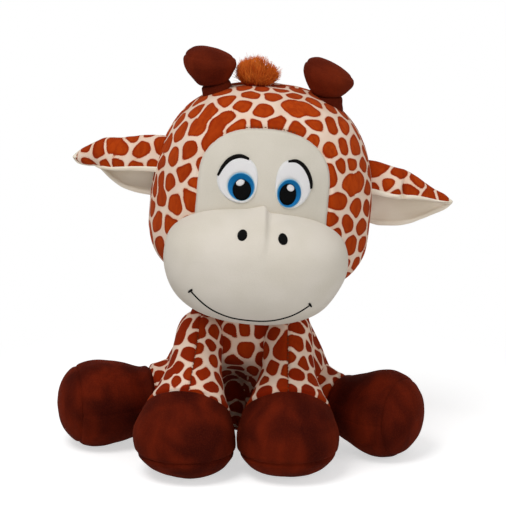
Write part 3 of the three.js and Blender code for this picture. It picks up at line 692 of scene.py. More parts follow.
def sewn_length(form, turns, t_start, t_end, rings, depths, long_seams, seed):
    """One sewn length of a stuffed form, its edges rolled in at the ring seams where it meets the next."""
    start_seam, end_seam = (depth is not None for depth in depths)
    shares = edge_places(rings, start_seam, end_seam)
    t = t_start[None] + (t_end - t_start)[None] * shares[:, None]
    points = form.surface(t, np.broadcast_to(turns, t.shape))
    steps = np.linalg.norm(np.diff(points, axis=0), axis=2)
    run = np.vstack([np.zeros(len(turns)), np.cumsum(steps, axis=0)])
    corners, faces = skin(points, caps=(not start_seam, not end_seam))
    pole = np.full(2 - start_seam - end_seam, FAR_AWAY)
    from_start = np.append(run.ravel(), pole) if start_seam else np.full(len(corners), FAR_AWAY)
    from_end = np.append((run[-1] - run).ravel(), pole) if end_seam else np.full(len(corners), FAR_AWAY)
    edge = np.minimum(from_start, from_end)
    relief = stuffing(corners, seed, *LEG_LUMPS)
    drawn_in = pucker(corners, seed + 2, *LEG_PUCKER)
    for away, depth in zip((from_start, from_end), depths):
        relief += seam_dip(away, depth or 0, SEAM_WIDTH) * drawn_in
    relief[edge < 1e-6] -= TUCK
    around = np.append(np.broadcast_to(turns, t.shape).ravel(), np.zeros(len(pole)))
    radii = np.linalg.norm(points - points.mean(axis=1, keepdims=True), axis=2).mean(axis=1)
    girth = np.append(np.repeat(radii, len(turns)) * 2 * math.pi, np.ones(len(pole)))
    for turn, depth in long_seams:
        dip = seam_dip(round_trip(around, turn, girth), depth, LONG_SEAM_WIDTH)
        relief += dip * np.where(girth > THIN_GIRTH, drawn_in, 0)
    return corners + normals_of(corners, faces) * relief[:, None], faces


def flipped(corners, faces, inside):
    """Faces turned so that they look away from a point inside."""
    normals = normals_of(corners, faces)
    if ((corners - inside) * normals).sum() < 0:
        return [tuple(reversed(face)) for face in faces]
    return faces


THREAD_PITCH = 0.55
THREAD_RELIEF = 0.0002
THREAD_BUMP = 0.7
THREAD_ROW_SHADE = 0.25
THREAD_SHADOW = (0.72, 0.72, 0.72)
THREAD_SHINE = 0.08


def build_thread_group():
    """Thread laid in close rows: how high each row stands, and the painted shade down between two rows."""
    tree = bpy.data.node_groups.new("Thread rows", "ShaderNodeTree")
    add_socket(tree, "Place", "NodeSocketFloat", "INPUT", 0)
    add_socket(tree, "Pitch", "NodeSocketFloat", "INPUT", THREAD_PITCH)
    add_socket(tree, "Hollow depth", "NodeSocketFloat", "INPUT", THREAD_ROW_SHADE)
    add_socket(tree, "Ridge", "NodeSocketFloat", "OUTPUT")
    add_socket(tree, "Hollow", "NodeSocketFloat", "OUTPUT")
    inside = node(tree, "NodeGroupInput")
    outside = node(tree, "NodeGroupOutput")
    angle = maths(tree, "MULTIPLY", inside.outputs["Place"], 2 * math.pi)
    wave = maths(tree, "SINE", maths(tree, "DIVIDE", angle, inside.outputs["Pitch"]))
    ridge = maths(tree, "MULTIPLY", maths(tree, "ADD", wave, 1.0), 0.5)
    low = maths(tree, "SUBTRACT", 1.0, ridge)
    join(tree, ridge, outside.inputs["Ridge"])
    join(tree, maths(tree, "MULTIPLY", low, inside.outputs["Hollow depth"]), outside.inputs["Hollow"])
    return tree


thread_group = build_thread_group()


def thread_material(name, colour, rough):
    """Shiny embroidery thread laid in close rows, darkened between the rows by painted shade."""
    material, tree, shader = blank_material(name, rough)
    rows = node(tree, "ShaderNodeGroup", node_tree=thread_group)
    rows.inputs["Pitch"].default_value = THREAD_PITCH
    rows.inputs["Hollow depth"].default_value = THREAD_ROW_SHADE
    place = node(tree, "ShaderNodeAttribute", attribute_name="rows").outputs["Fac"]
    join(tree, place, rows.inputs["Place"])
    bump = node(tree, "ShaderNodeBump")
    bump.inputs["Strength"].default_value = THREAD_BUMP
    bump.inputs["Distance"].default_value = THREAD_RELIEF
    join(tree, rows.outputs["Ridge"], bump.inputs["Height"])
    join(tree, bump.outputs["Normal"], shader.inputs["Normal"])
    source = ink(colour) if isinstance(colour, str) else colour(tree)
    # Painted shade: the thread is darkened down between its rows.
    darker = mix_colours(tree, 1.0, source, THREAD_SHADOW, blend="MULTIPLY")
    join(tree, mix_colours(tree, rows.outputs["Hollow"], source, darker), shader.inputs["Base Color"])
    shader.inputs["Specular IOR Level"].default_value = THREAD_SHINE
    return material


STITCH_POINTS = 6
STITCH_BOW = 1.6


def add_stitches(name, path, outward, material, length, pitch, radius, lift):
    """A run of short stitches, each a thread that dips into the cloth at both ends."""
    steps = np.linalg.norm(np.diff(path, axis=0), axis=1)
    along = np.concatenate([[0], np.cumsum(steps)])
    corners, faces, rows = [], [], []
    for start in np.arange(pitch / 2, along[-1] - length, pitch):
        share = np.linspace(0, 1, STITCH_POINTS)
        spots = start + length * share
        line = np.stack([np.interp(spots, along, path[:, k]) for k in range(3)], axis=1)
        out = np.stack([np.interp(spots, along, outward[:, k]) for k in range(3)], axis=1)
        line = line + out * (lift - radius + radius * STITCH_BOW * np.sin(np.pi * share))[:, None]
        tangent = np.gradient(line, axis=0)
        tangent /= np.linalg.norm(tangent, axis=1, keepdims=True)
        side = np.cross(tangent, out)
        up = np.cross(side, tangent)
        angle = 2 * np.pi * np.arange(STITCH_POINTS) / STITCH_POINTS
        thick = radius * np.sqrt(np.clip(1 - (2 * share - 1) ** 4, 0.05, 1))
        ways = np.cos(angle)[None, :, None] * side[:, None] + np.sin(angle)[None, :, None] * up[:, None]
        ring = line[:, None] + thick[:, None, None] * ways
        more, quads = skin(ring)
        base = sum(len(c) for c in corners)
        corners.append(more)
        faces += [tuple(base + k for k in face) for face in quads]
        rows.append(np.linspace(0, length, len(more)))
    return add_mesh(name, np.concatenate(corners), faces, material, values={"rows": np.concatenate(rows)})


brown_thread = thread_material("brown thread", BROWN_THREAD, 0.6)


def make_leg(name, form, turns, ankle_share, cuff, sole_point, sole_way, sole_cut, front_turn, seed):
    """The sleeve, shoe and sole are lengths of one form."""
    body_name = f"{name}_leg"
    ankle, footward = form.spine_at(ankle_share)
    t_ankle = form.crossing(turns, ankle + footward * cuff[0], footward + cuff[1])
    t_sole = form.crossing(turns, sole_point, sole_way)
    t_root = np.full(len(turns), ROOT_END)
    t_toe = np.full(len(turns), TOE_END)
    sleeve_seams = [(front_turn, SLEEVE_SEAM_DEPTH), (front_turn + 0.5, SLEEVE_SEAM_DEPTH)]
    stretches = [
        ("leg_cloth", t_root, t_ankle, 120, (None, SEAM_DEPTH), spotted, "spotted_plush",
         ("leg_cover", "leg_filling"), sleeve_seams),
        ("shoe", t_ankle, t_sole, 60, (SEAM_DEPTH, sole_cut), brown, "brown_plush",
         ("foot_cover",), [(front_turn, SHOE_SEAM_DEPTH)]),
        ("sole", t_sole, t_toe, 24, (sole_cut, None), brown, "brown_plush",
         ("foot_sole",), []),
    ]
    for k, (part, start, end, rings, depths, material, slot, stands_for, seams) in enumerate(stretches):
        corners, faces = sewn_length(form, turns, start, end, rings, depths, seams, seed + 10 * k)
        corners = on_floor(corners)
        numbers = None
        if material is spotted:
            panels = panels_of(turns, (front_turn % 1, (front_turn + 0.5) % 1), rings, 1)
            numbers = printed(corners, faces, panels, seed=seed, **LEG_PRINT)
        piece = add_mesh(f"{name}_{part}", corners, faces, material, corner_values=numbers)
        if part == "leg_cloth":
            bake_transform(piece)
        else:
            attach(piece, body_name)
        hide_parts(*[f"{name}_{node_name}" for node_name in stands_for])
        if part == "leg_cloth" and name.endswith("front"):
            column = int(np.argmin(np.abs(turns - front_turn)))
            on_seam = np.arange(rings) * len(turns) + column
            on_seam = on_seam[corners[on_seam, 2] < STITCHED_BELOW][:-3]
            outward = normals_of(corners, faces)[on_seam]
            row = add_stitches(f"{name}_seam_stitches", corners[on_seam], outward, brown_thread,
                               **SLEEVE_STITCH)
            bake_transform(row)


def make_front_leg(side, sign):
    """A front leg comes down and forward from the shoulder, and spreads outward to the foot."""
    height = BODY_HEIGHT - SHOULDER_DROP
    shoulder = np.array([sign * SHOULDER_SPREAD, SHOULDER_BACK, height], float)
    shift = FRONT_SPREADS[side] - SHOULDER_SPREAD
    spine = [
        shoulder + (sign * shift * (1 - up), -FRONT_REACH * forward, -(height + FLATTENING) * (1 - up))
        for forward, up in FRONT_SPINE_SHARES
    ]
    girth = [(s, FRONT_HALF_WIDTH * w, FRONT_HALF_LENGTH * d) for s, w, d in FRONT_GIRTH_SHARES]
    roundings = (FRONT_HALF_WIDTH / 2, FRONT_ROUNDING)
    form = StuffedForm(spine, girth, roundings, LEG_PROFILE, LEG_SECTION, SIDEWAYS)
    turns = turn_places(FRONT_COLUMNS, FRONT_SEAMS)
    sole = np.array([spine[-1][0], spine[-1][1], FRONT_SOLE])
    make_leg(f"{side}_front", form, turns, FRONT_ANKLE_SHARE, FRONT_CUFF, sole, -UP, FRONT_SOLE_CUT,
             FRONT_SEAMS[0], FRONT_SEEDS[side])


def make_hind_leg(side, sign):
    """A hind leg lies along the floor, turned out from the hip, with its sole at the far end."""
    hip = np.array([sign * HIP_SPREAD, HIP_BACK, HIP_HEIGHT], float)
    turn = math.radians(HIND_TURNS[side])
    outward = np.array([sign * math.cos(turn), -math.sin(turn), 0])
    drop = HIP_HEIGHT + FLATTENING - HIND_HALF_HEIGHT
    spine = [hip + outward * HIND_LENGTH * s - UP * drop * d for s, d in HIND_SPINE_SHARES]
    swell = HIND_ANKLE_SWELLS[side]
    girth = []
    for s, w, h in HIND_GIRTH_SHARES:
        wide, high = (share + swell * (share < ANKLE_GIRTH) for share in (w, h))
        girth.append((s, HIND_HALF_WIDTH * wide, HIND_HALF_HEIGHT * high))
    roundings = (HIND_HALF_WIDTH / 2, HIND_ROUNDING)
    form = StuffedForm(spine, girth, roundings, LEG_PROFILE, LEG_SECTION, np.cross(UP, outward))
    front_turn = HIND_SEAMS[1] if sign > 0 else HIND_SEAMS[0]
    turns = turn_places(HIND_COLUMNS, HIND_SEAMS)
    sole = hip + outward * (HIND_LENGTH - HIND_SOLE)
    make_leg(f"{side}_hind", form, turns, HIND_ANKLE_SHARES[side], HIND_CUFF, sole, outward, HIND_SOLE_CUT,
             front_turn, HIND_SEEDS[side])


for side, sign in SIDES.items():
    make_front_leg(side, sign)
    make_hind_leg(side, sign)


# Head cover
# A big stuffed egg of spotted cloth, sewn from a front and a back half along a seam that runs over the
# crown through the horns and ears. It leans a little to one side on the neck.
HEAD_HALF_WIDTH = 99
HEAD_HALF_DEPTH = 88
HEAD_WIDEST = 62
HEAD_CROWN = 123
HEAD_MIDDLE = 95
HEAD_ROLL = math.radians(5.5)
HEAD_YAW = math.radians(2)
HEAD_PROFILE = 2.6
HEAD_SECTION = 2.2
CROWN_SEAM_Y = 6
HEAD_SIDE_SHIFT = 2.2
HEAD_SHIFT_DEPTHS = (-75, -25)
HEAD_SEAM_CUT = (1.5, 1.6)
HEAD_LUMPS = ((1.2, 40), (0.4, 14))
HEAD_PUCKER = (0.3, 5)
HEAD_SEED = 51
# The head's spots keep to the light end of the russet range: painted light on the top of the toy.
HEAD_PRINT = {"spacing": 18.5, "swell": 0.1, "seed": 301, "painted_light_tones": (0.6, 1.0)}
FACE_LUMPS = (0.5, 38)
FACE_LUMPS_SEED = 41
FACE_MARGIN = 25


def turned_about(roll, yaw):
    """The turn that leans a piece about the depth axis after swinging it about the upright one."""
    cr, sr, cy, sy = math.cos(roll), math.sin(roll), math.cos(yaw), math.sin(yaw)
    lean = np.array([[cr, 0, sr], [0, 1, 0], [-sr, 0, cr]])
    swing = np.array([[cy, -sy, 0], [sy, cy, 0], [0, 0, 1]])
    return lean @ swing


head_turn = turned_about(HEAD_ROLL, HEAD_YAW)


def from_head(points):
    """Puts points that were made in the head's own frame where the head is."""
    return points @ head_turn.T + neck_centre


def head_fullness(height):
    """The head's girth at a height, as a share of its widest."""
    low = rounded(height, HEAD_WIDEST, HEAD_PROFILE)
    high = rounded(HEAD_WIDEST + HEAD_CROWN - height, HEAD_CROWN, HEAD_PROFILE)
    return np.maximum(low * high, 1e-4)


BEYOND_HEAD = 180.0
HALVINGS = 34


def head_reach(ways):
    """Points where rays from the head's middle leave it, found by halving the stretch again and again."""
    near = np.zeros(ways.shape[:-1])
    far = np.full(ways.shape[:-1], BEYOND_HEAD)
    middle = np.array([0, 0, HEAD_MIDDLE])
    for _ in range(HALVINGS):
        half = (near + far) / 2
        p = middle + half[..., None] * ways
        full = head_fullness(p[..., 2])
        over = np.abs(p[..., 0] / (HEAD_HALF_WIDTH * full)) ** HEAD_SECTION
        over = over + np.abs(p[..., 1] / (HEAD_HALF_DEPTH * full)) ** HEAD_SECTION > 1
        over |= (p[..., 2] < 0) | (p[..., 2] > HEAD_WIDEST + HEAD_CROWN)
        far = np.where(over, half, far)
        near = np.where(over, near, half)
    return middle + near[..., None] * ways


def face_point(x, height):
    """The point of the head's front at a place in the plane of the face."""
    full = head_fullness(height)
    inside = np.clip(1 - np.abs(x / (HEAD_HALF_WIDTH * full)) ** HEAD_SECTION, 0, 1)
    return np.stack([x, -HEAD_HALF_DEPTH * full * inside ** (1 / HEAD_SECTION), height], axis=-1)


def polar_ways(angle, theta):
    """Directions from the head's middle, at an angle from straight ahead and turned by theta round it."""
    return np.stack([np.sin(angle) * np.cos(theta), -np.cos(angle), np.sin(angle) * np.sin(theta)], axis=-1)


PANEL_HALF_WIDTH = 58
PANEL_CENTRE = 112
PANEL_RISE = 47
PANEL_DROP = 52
PANEL_POWER = 2.3
PANEL_SHIFT = -1.3


def panel_outline(samples):
    """The face panel's edge, in the plane of the face: a squared arch over straight sides."""
    share = np.linspace(0, 0.5, samples // 2)
    x, up = oval(share, PANEL_POWER)
    arch = np.stack([PANEL_HALF_WIDTH * x, PANEL_CENTRE + PANEL_RISE * up], axis=1)
    low = PANEL_CENTRE - PANEL_DROP
    down = np.linspace(PANEL_CENTRE, low, samples // 8)[1:]
    across = np.linspace(-1, 1, samples // 4)[1:-1]
    left = np.stack([np.full(len(down), -PANEL_HALF_WIDTH), down], axis=1)
    bottom = np.stack([PANEL_HALF_WIDTH * across, np.full(len(across), low)], axis=1)
    right = np.stack([np.full(len(down), PANEL_HALF_WIDTH), down[::-1]], axis=1)
    return np.concatenate([arch, left, bottom, right]) + (PANEL_SHIFT, 0)


def edge_angles(theta):
    """How far from straight ahead the panel's edge lies, seen from the head's middle in each direction."""
    edge = panel_outline(640)
    away = face_point(edge[:, 0], edge[:, 1]) - (0, 0, HEAD_MIDDLE)
    away /= np.linalg.norm(away, axis=1, keepdims=True)
    angle = np.arccos(-away[:, 1])
    direction = np.arctan2(away[:, 2], away[:, 0])
    order = np.argsort(direction)
    return np.interp(theta, direction[order], angle[order], period=2 * np.pi)


def face_relief(points):
    """Small hollows and swellings of the stuffed face, shared by everything that is sewn on it."""
    return FACE_LUMPS[0] * lumps(points, FACE_LUMPS[1], FACE_LUMPS_SEED)


def make_head():
    """The front half runs from the face panel's edge to the crown seam, and the back half on from there."""
    around, front_rings, back_rings = 300, 76, 80
    theta = -np.pi + 2 * np.pi * np.arange(around) / around
    start = edge_angles(theta)
    probe = np.linspace(0, np.pi, 500)
    depth = head_reach(polar_ways(*np.meshgrid(probe, theta, indexing="ij")))[..., 1]
    crown = np.array([np.interp(CROWN_SEAM_Y, depth[:, k], probe) for k in range(len(theta))])
    front = start[None] + (crown - start)[None] * edge_places(front_rings, True, True)[:, None]
    back = crown[None] + (np.pi - 0.02 - crown)[None] * edge_places(back_rings, True, False)[1:, None]
    angle = np.vstack([front, back])
    points = head_reach(polar_ways(angle, np.broadcast_to(theta, angle.shape)))
    steps = np.linalg.norm(np.diff(points, axis=0), axis=2)
    run = np.vstack([np.zeros(len(theta)), np.cumsum(steps, axis=0)])
    corners, faces = skin(points, caps=(False, True))
    faces = flipped(corners, faces, np.array([0, 0, HEAD_MIDDLE]))
    edge = np.append(run.ravel(), FAR_AWAY)
    crown_away = np.append(np.abs(run - run[front_rings - 1]).ravel(), FAR_AWAY)
    relief = stuffing(corners, HEAD_SEED, *HEAD_LUMPS) * np.clip(edge / FACE_MARGIN, 0, 1)
    relief += face_relief(corners) * np.clip(1 - edge / FACE_MARGIN, 0, 1)
    drawn_in = pucker(corners, HEAD_SEED + 2, *HEAD_PUCKER)
    relief += seam_dip(edge, *HEAD_SEAM_CUT) + seam_dip(crown_away, *HEAD_SEAM_CUT) * drawn_in
    relief[edge < 1e-6] -= TUCK
    panels = np.repeat([0, 1], [(front_rings - 1) * around, back_rings * around])
    corners = corners + normals_of(corners, faces) * relief[:, None]
    corners[:, 0] += HEAD_SIDE_SHIFT * eased(corners[:, 1], *HEAD_SHIFT_DEPTHS)
    numbers = printed(corners, faces, panels, **HEAD_PRINT)
    piece = add_mesh("head_cloth", from_head(corners), faces, spotted, corner_values=numbers)
    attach(piece, "head")
    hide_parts("head_cover", "head_filling")


make_head()


# Face panel
# An arch of plain cream pile, set into the head's front edge to edge with the spotted cloth. A row of small
# brown stitches shows along its top.
FACE_CREAMS = ("#d2cbbe", "#cdc6b8")
CREAM_TIP = "#efe9dc"
FACE_PUCKER = (0.3, 4)
FACE_SEED = 61
FACE_COLUMNS = 300
FACE_RINGS = 64
FACE_STITCH = {"length": 2.2, "pitch": 3.2, "radius": 0.5, "lift": 0.35}
STITCHED_HALF_WIDTH = 24


def cream_plush(name, pale, shade):
    """Short cream pile, with faint broad patches where it was brushed."""
    material, tree, shader = blank_material(name, 0.9)
    nap = add_nap(tree, shader, fibre=1500, patch=30, depth=0.0004, sheen=0.05, sheen_tint=ink("#fff4e4"))
    brushed = mix_colours(tree, nap.outputs["Patches"], ink(shade), ink(pale))
    speckled = maths(tree, "MULTIPLY", ramp(tree, nap.outputs["Fibres"], 0.3, 0.7), 0.12)
    join(tree, mix_colours(tree, speckled, brushed, ink(CREAM_TIP)), shader.inputs["Base Color"])
    return material


face_cream = cream_plush("face plush", *FACE_CREAMS)


def make_face_panel():
    """The panel is filled in from its edge to a point near its middle, and curves with the head."""
    edge = panel_outline(FACE_COLUMNS)
    centre = np.array([PANEL_SHIFT, PANEL_CENTRE - 4])
    share = np.sin(np.pi / 2 * np.linspace(0.02, 1, FACE_RINGS))
    flat = centre + (edge - centre)[None] * share[:, None, None]
    points = face_point(flat[..., 0], flat[..., 1])
    corners, faces = skin(points, caps=(True, False))
    corners[-1] = face_point(*centre)
    faces = flipped(corners, faces, np.array([0, 0, HEAD_MIDDLE]))
    away = np.linalg.norm(points - points[-1][None], axis=2)
    away = np.append(away.ravel(), FAR_AWAY)
    relief = face_relief(corners)
    relief += seam_dip(away, *HEAD_SEAM_CUT) * pucker(corners, FACE_SEED, *FACE_PUCKER)
    relief[away < 1e-6] -= TUCK
    corners = corners + normals_of(corners, faces) * relief[:, None]
    piece = add_mesh("face_cloth", from_head(corners), faces, face_cream)
    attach(piece, "head")
    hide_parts("face_panel")
    top = edge[(np.abs(edge[:, 0]) < STITCHED_HALF_WIDTH) & (edge[:, 1] > PANEL_CENTRE)]
    path = face_point(top[:, 0], top[:, 1])
    outward = path - (0, 0, HEAD_MIDDLE)
    outward = (outward / np.linalg.norm(outward, axis=1, keepdims=True)) @ head_turn.T
    row = add_stitches("face_seam_stitches", from_head(path), outward, brown_thread, **FACE_STITCH)
    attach(row, "head")


make_face_panel()


# Muzzle
# A broad snout of cream pile sewn over the lower face and stuffed full. A short seam runs down from the
# middle of its upper edge, and the cloth stands a little prouder on one side of it.
MUZZLE_HALF_WIDTH = 80.5
MUZZLE_HALF_HEIGHT = 52
MUZZLE_SHIFT = -2
MUZZLE_CENTRE = 44
MUZZLE_BACK = 40
MUZZLE_FRONT = 130
MUZZLE_SECTION = 2.4
MUZZLE_GIRTH_SHARES = [(0, 0.95), (0.4, 1), (1, 1)]
MUZZLE_ROUNDINGS = (26, 58)
MUZZLE_PROFILE = 2.3
MUZZLE_SEAM_CUT = (1.8, 2.0)
MUZZLE_LUMPS = ((0.8, 45), (0.2, 17))
MUZZLE_PUCKER = (0.25, 5)
MUZZLE_SEED = 71
MUZZLE_COLUMNS = 230
MUZZLE_RINGS = 120
MUZZLE_CREAMS = ("#dad2c6", "#d4ccbe")
CREASE_X = 1.8
CREASE_STEP = 0.85
CREASE_PEAK = (1, 0, 16)
CREASE_FALL = (-1.6, 3.6)
CREASE_HEIGHTS = (62, 90)
CREASE_SLOPES = ((-14, -1.5), (-1.2, 3))
CREASE_HOLLOW = (0.3, 4, 4)
CREASE_RIDGE = (0.35, -3, 1.8)
RIDGE_HEIGHTS = (56, 64)
SHOULDER_CUT = 4.2
SHOULDER_SHARE = 0.8
CHIN_FULLNESS = 3.6
CHIN_START = 10
CHIN_TAPERS = (0.02, 0.055)
CHIN_TAPER_DEPTH = 30
HIDDEN_DEPTH = -5
muzzle_depths = (MUZZLE_BACK, (MUZZLE_BACK + MUZZLE_FRONT) / 2, MUZZLE_FRONT)
muzzle_form = StuffedForm(
    [(MUZZLE_SHIFT, -y, MUZZLE_CENTRE) for y in muzzle_depths],
    [(s, MUZZLE_HALF_WIDTH * w, MUZZLE_HALF_HEIGHT * w) for s, w in MUZZLE_GIRTH_SHARES],
    MUZZLE_ROUNDINGS, MUZZLE_PROFILE, MUZZLE_SECTION, SIDEWAYS,
)
muzzle_cream = cream_plush("muzzle plush", *MUZZLE_CREAMS)


def head_distance(points):
    """How far points lie outside the head's surface, in millimetres."""
    away = points - (0, 0, HEAD_MIDDLE)
    reach = np.linalg.norm(away, axis=1)
    return reach - np.linalg.norm(head_reach(away / reach[:, None]) - (0, 0, HEAD_MIDDLE), axis=1)


def cut_to_seam(points):
    """The muzzle's panels narrow at the chin, and are cut lower on either side of the middle seam."""
    across = points[..., 0] - CREASE_X
    on_top = eased(points[..., 2], MUZZLE_CENTRE, MUZZLE_CENTRE + SHOULDER_SHARE * MUZZLE_HALF_HEIGHT)
    peak = bell(across, *CREASE_PEAK) * (1 - eased(across, *CREASE_FALL))
    drop = SHOULDER_CUT * on_top * (1 - peak)
    at_chin = eased(MUZZLE_CENTRE - points[..., 2], 0, CHIN_TAPER_DEPTH)
    taper = np.where(points[..., 0] < MUZZLE_SHIFT, *CHIN_TAPERS) * at_chin
    sideways = (MUZZLE_SHIFT - points[..., 0]) * taper
    return points + np.stack([sideways, np.zeros_like(drop), -drop], axis=-1)


def muzzle_relief(points):
    """The muzzle's stuffed lumps, its full chin, and the cloth that stands proud beside the middle seam."""
    across = points[..., 0] - CREASE_X
    flat = points.reshape(-1, 3)
    soft = stuffing(flat, MUZZLE_SEED, *MUZZLE_LUMPS).reshape(across.shape)
    chin = CHIN_FULLNESS * eased(MUZZLE_CENTRE - points[..., 2], CHIN_START, MUZZLE_HALF_HEIGHT)
    down = eased(points[..., 2], *CREASE_HEIGHTS)
    up_to, beyond = (eased(across, *slope) for slope in CREASE_SLOPES)
    proud = CREASE_STEP * up_to * (1 - beyond) - bell(across, *CREASE_HOLLOW)
    ridge = bell(across, *CREASE_RIDGE) * eased(points[..., 2], *RIDGE_HEIGHTS)
    return soft + chin + down * proud + ridge


def make_muzzle():
    """Only the part of the snout outside the head is kept, with a little to spare behind the seam."""
    turns = turn_places(MUZZLE_COLUMNS, (0.25,))
    t, turn = np.meshgrid(ring_places(MUZZLE_RINGS), turns, indexing="ij")
    corners, faces = skin(muzzle_form.surface(t, turn))
    faces = flipped(corners, faces, np.array([0, -MUZZLE_BACK, MUZZLE_CENTRE]))
    relief = muzzle_relief(corners)
    corners = cut_to_seam(corners)
    proud = head_distance(corners)
    drawn_in = pucker(corners, MUZZLE_SEED + 2, *MUZZLE_PUCKER)
    relief += seam_dip(np.maximum(proud, 0), *MUZZLE_SEAM_CUT) * drawn_in
    corners = corners + normals_of(corners, faces) * relief[:, None]
    kept = [face for face in faces if proud[list(face)].max() > HIDDEN_DEPTH]
    used = sorted({k for face in kept for k in face})
    number = {k: i for i, k in enumerate(used)}
    faces = [tuple(number[k] for k in face) for face in kept]
    piece = add_mesh("muzzle_cloth", from_head(corners[used]), faces, muzzle_cream)
    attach(piece, "head")
    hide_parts("muzzle_cover", "muzzle_filling")


make_muzzle()


# Eyes
# Machine embroidery on the face panel. Each eye is a white oval with a corded rim, a blue iris, a black
# pupil and a white glint, with a thick dark lid line that tapers over it. A layer's numbers are its middle
# across and up the face, its half width and its half height.
EYE_LAYERS = {
    "left": {"white": (23.6, 114.9, 15.4, 20.2), "iris": (20.2, 107.1, 10.5, 12.2),
             "pupil": (19.1, 106.1, 7.2, 9.1), "glint": (21.0, 112.0, 3.5, 2.9)},
    "right": {"white": (-25.0, 114.7, 17.1, 19.0), "iris": (-21.3, 109.4, 11.6, 11.8),
              "pupil": (-20.3, 106.4, 7.8, 8.8), "glint": (-22.3, 113.0, 4.0, 2.9)},
}
EYE_BULGE = 0.16
EYE_POWER = 2.1
GLINT_LEAN = 0.55
RIM_HALF_WIDTH = 0.5
RIM_HEIGHT = 0.6
LID_SHARES = {
    "left": [(1.0, -0.15), (0.95, 0.12), (0.76, 0.48), (0.43, 0.8), (0.03, 0.96), (-0.42, 0.93)],
    "right": [(0.97, 0.07), (0.77, 0.47), (0.48, 0.81), (0.13, 1.0), (-0.17, 1.04), (-0.5, 0.96)],
}
LID_HALF_WIDTH = 1.8
LID_ENDS = (0.09, 0.93)
LID_TAPER = 0.45
LID_LIFT = 0.9
LID_HEIGHT = 0.9
THREAD_BASE = 0.3
THREAD_HEIGHT = 1.0
PATCH_CORE = 0.04
BAND_SINK = 0.25
INTO_HEAD = (0, 40, 0)
IRIS_BLUES = ("#05649a", "#1f7cbe")
IRIS_RIM = "#8fcbe6"


def leaning_oval(x, height, half_width, half_height, lean=0.0, bulge=0.0, power=2.0, samples=120):
    """Points round an oval in the plane of the face, which may be turned, or bulge more to one side."""
    across, up = oval(np.arange(samples) / samples, power)
    across, up = half_width * (across - bulge * up ** 2), half_height * up
    return np.stack([x + across * math.cos(lean) - up * math.sin(lean),
                     height + across * math.sin(lean) + up * math.cos(lean)], axis=-1)


def on_face(flat, lift):
    """Places drawn on the plane of the face, laid on the head's front and raised by lift."""
    points = face_point(flat[..., 0], flat[..., 1])
    step = 0.5
    right = face_point(flat[..., 0] + step, flat[..., 1]) - points
    up = face_point(flat[..., 0], flat[..., 1] + step) - points
    outward = np.cross(right, up)
    outward /= np.linalg.norm(outward, axis=-1, keepdims=True)
    outward *= np.sign(-outward[..., 1:2])
    relief = face_relief(points.reshape(-1, 3)).reshape(points.shape[:-1])
    return points + outward * (relief + lift)[..., None]


def make_patch(name, outer, inner, lay, material, base, stands_for, rows="flat"):
    """A raised patch of thread inside an outline, down to an inner outline or to a single point."""
    hollow = np.ptp(inner, axis=0).max() > 0
    share = np.concatenate([np.linspace(0, 1, 9), [1]])
    if hollow:
        share = np.concatenate([[0], share])
        dome = THREAD_HEIGHT * np.sqrt(1 - (2 * share - 1) ** 8)
        dome[0] = -THREAD_HEIGHT
    else:
        share[0] = PATCH_CORE
        dome = THREAD_HEIGHT * np.sqrt(1 - share ** 8)
    dome[-1] = -THREAD_HEIGHT
    flat = inner[None] + (outer - inner)[None] * share[:, None, None]
    points = lay(flat, base + np.broadcast_to(dome[:, None], flat.shape[:-1]))
    corners, faces = skin(points, caps=(not hollow, False))
    faces = flipped(corners, faces, points.reshape(-1, 3).mean(axis=0) + INTO_HEAD)
    middle = outer.mean(axis=0)
    places = np.vstack([(flat - middle).reshape(-1, 2), np.zeros((0 if hollow else 1, 2))])
    across, up = places.T
    thread = up
    if rows == "around":
        thread = np.arctan2(up, across) * np.linalg.norm(outer - middle, axis=1).mean()
    half_width, half_height = np.ptp(outer, axis=0) / 2
    numbers = {"rows": thread, "fall": up, "reach": np.hypot(across / half_width, up / half_height)}
    piece = add_mesh(name, from_head(corners), faces, material, values=numbers)
    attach(piece, "head")
    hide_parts(stands_for)


def make_band(name, run, half_widths, lay, material, base, stands_for=None, height=THREAD_HEIGHT):
    """A raised cord of thread along a run of points on the face, as wide as half_widths says."""
    tangent = np.gradient(run, axis=0)
    tangent /= np.linalg.norm(tangent, axis=1, keepdims=True)
    side = np.stack([-tangent[:, 1], tangent[:, 0]], axis=1)
    angle = np.linspace(0, np.pi, 9)
    flat = run[:, None] + side[:, None] * (np.cos(angle)[None] * half_widths[:, None])[..., None]
    heights = height * np.minimum(1, half_widths / half_widths.max() * 1.4)
    rise = np.sin(angle)[None] * heights[:, None] - BAND_SINK
    points = lay(flat, base + rise)
    corners, faces = skin(points, wrap=False, caps=(False, False))
    faces = flipped(corners, faces, points.reshape(-1, 3).mean(axis=0) + INTO_HEAD)
    along = np.concatenate([[0], np.cumsum(np.linalg.norm(np.diff(run, axis=0), axis=1))])
    rows = np.repeat(along, len(angle))
    piece = add_mesh(name, from_head(corners), faces, material, values={"rows": rows})
    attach(piece, "head")
    if stands_for:
        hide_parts(stands_for)


def iris_colour(tree):
    """Teal at the top of the iris, brighter blue lower down, and a pale outline."""
    fall = node(tree, "ShaderNodeAttribute", attribute_name="fall").outputs["Fac"]
    reach = node(tree, "ShaderNodeAttribute", attribute_name="reach").outputs["Fac"]
    blue = mix_colours(tree, ramp(tree, fall, 9, -8), *(ink(code) for code in IRIS_BLUES))
    return mix_colours(tree, ramp(tree, reach, 0.93, 0.985), blue, ink(IRIS_RIM))


white_thread = thread_material("white thread", "#ebe9e9", 0.6)
rim_thread = thread_material("rim thread", "#e6e5e2", 0.6)
black_thread = thread_material("black thread", "#020202", 0.75)
lid_thread = thread_material("lid thread", "#0a0706", 0.75)
blue_thread = thread_material("blue thread", iris_colour, 0.5)


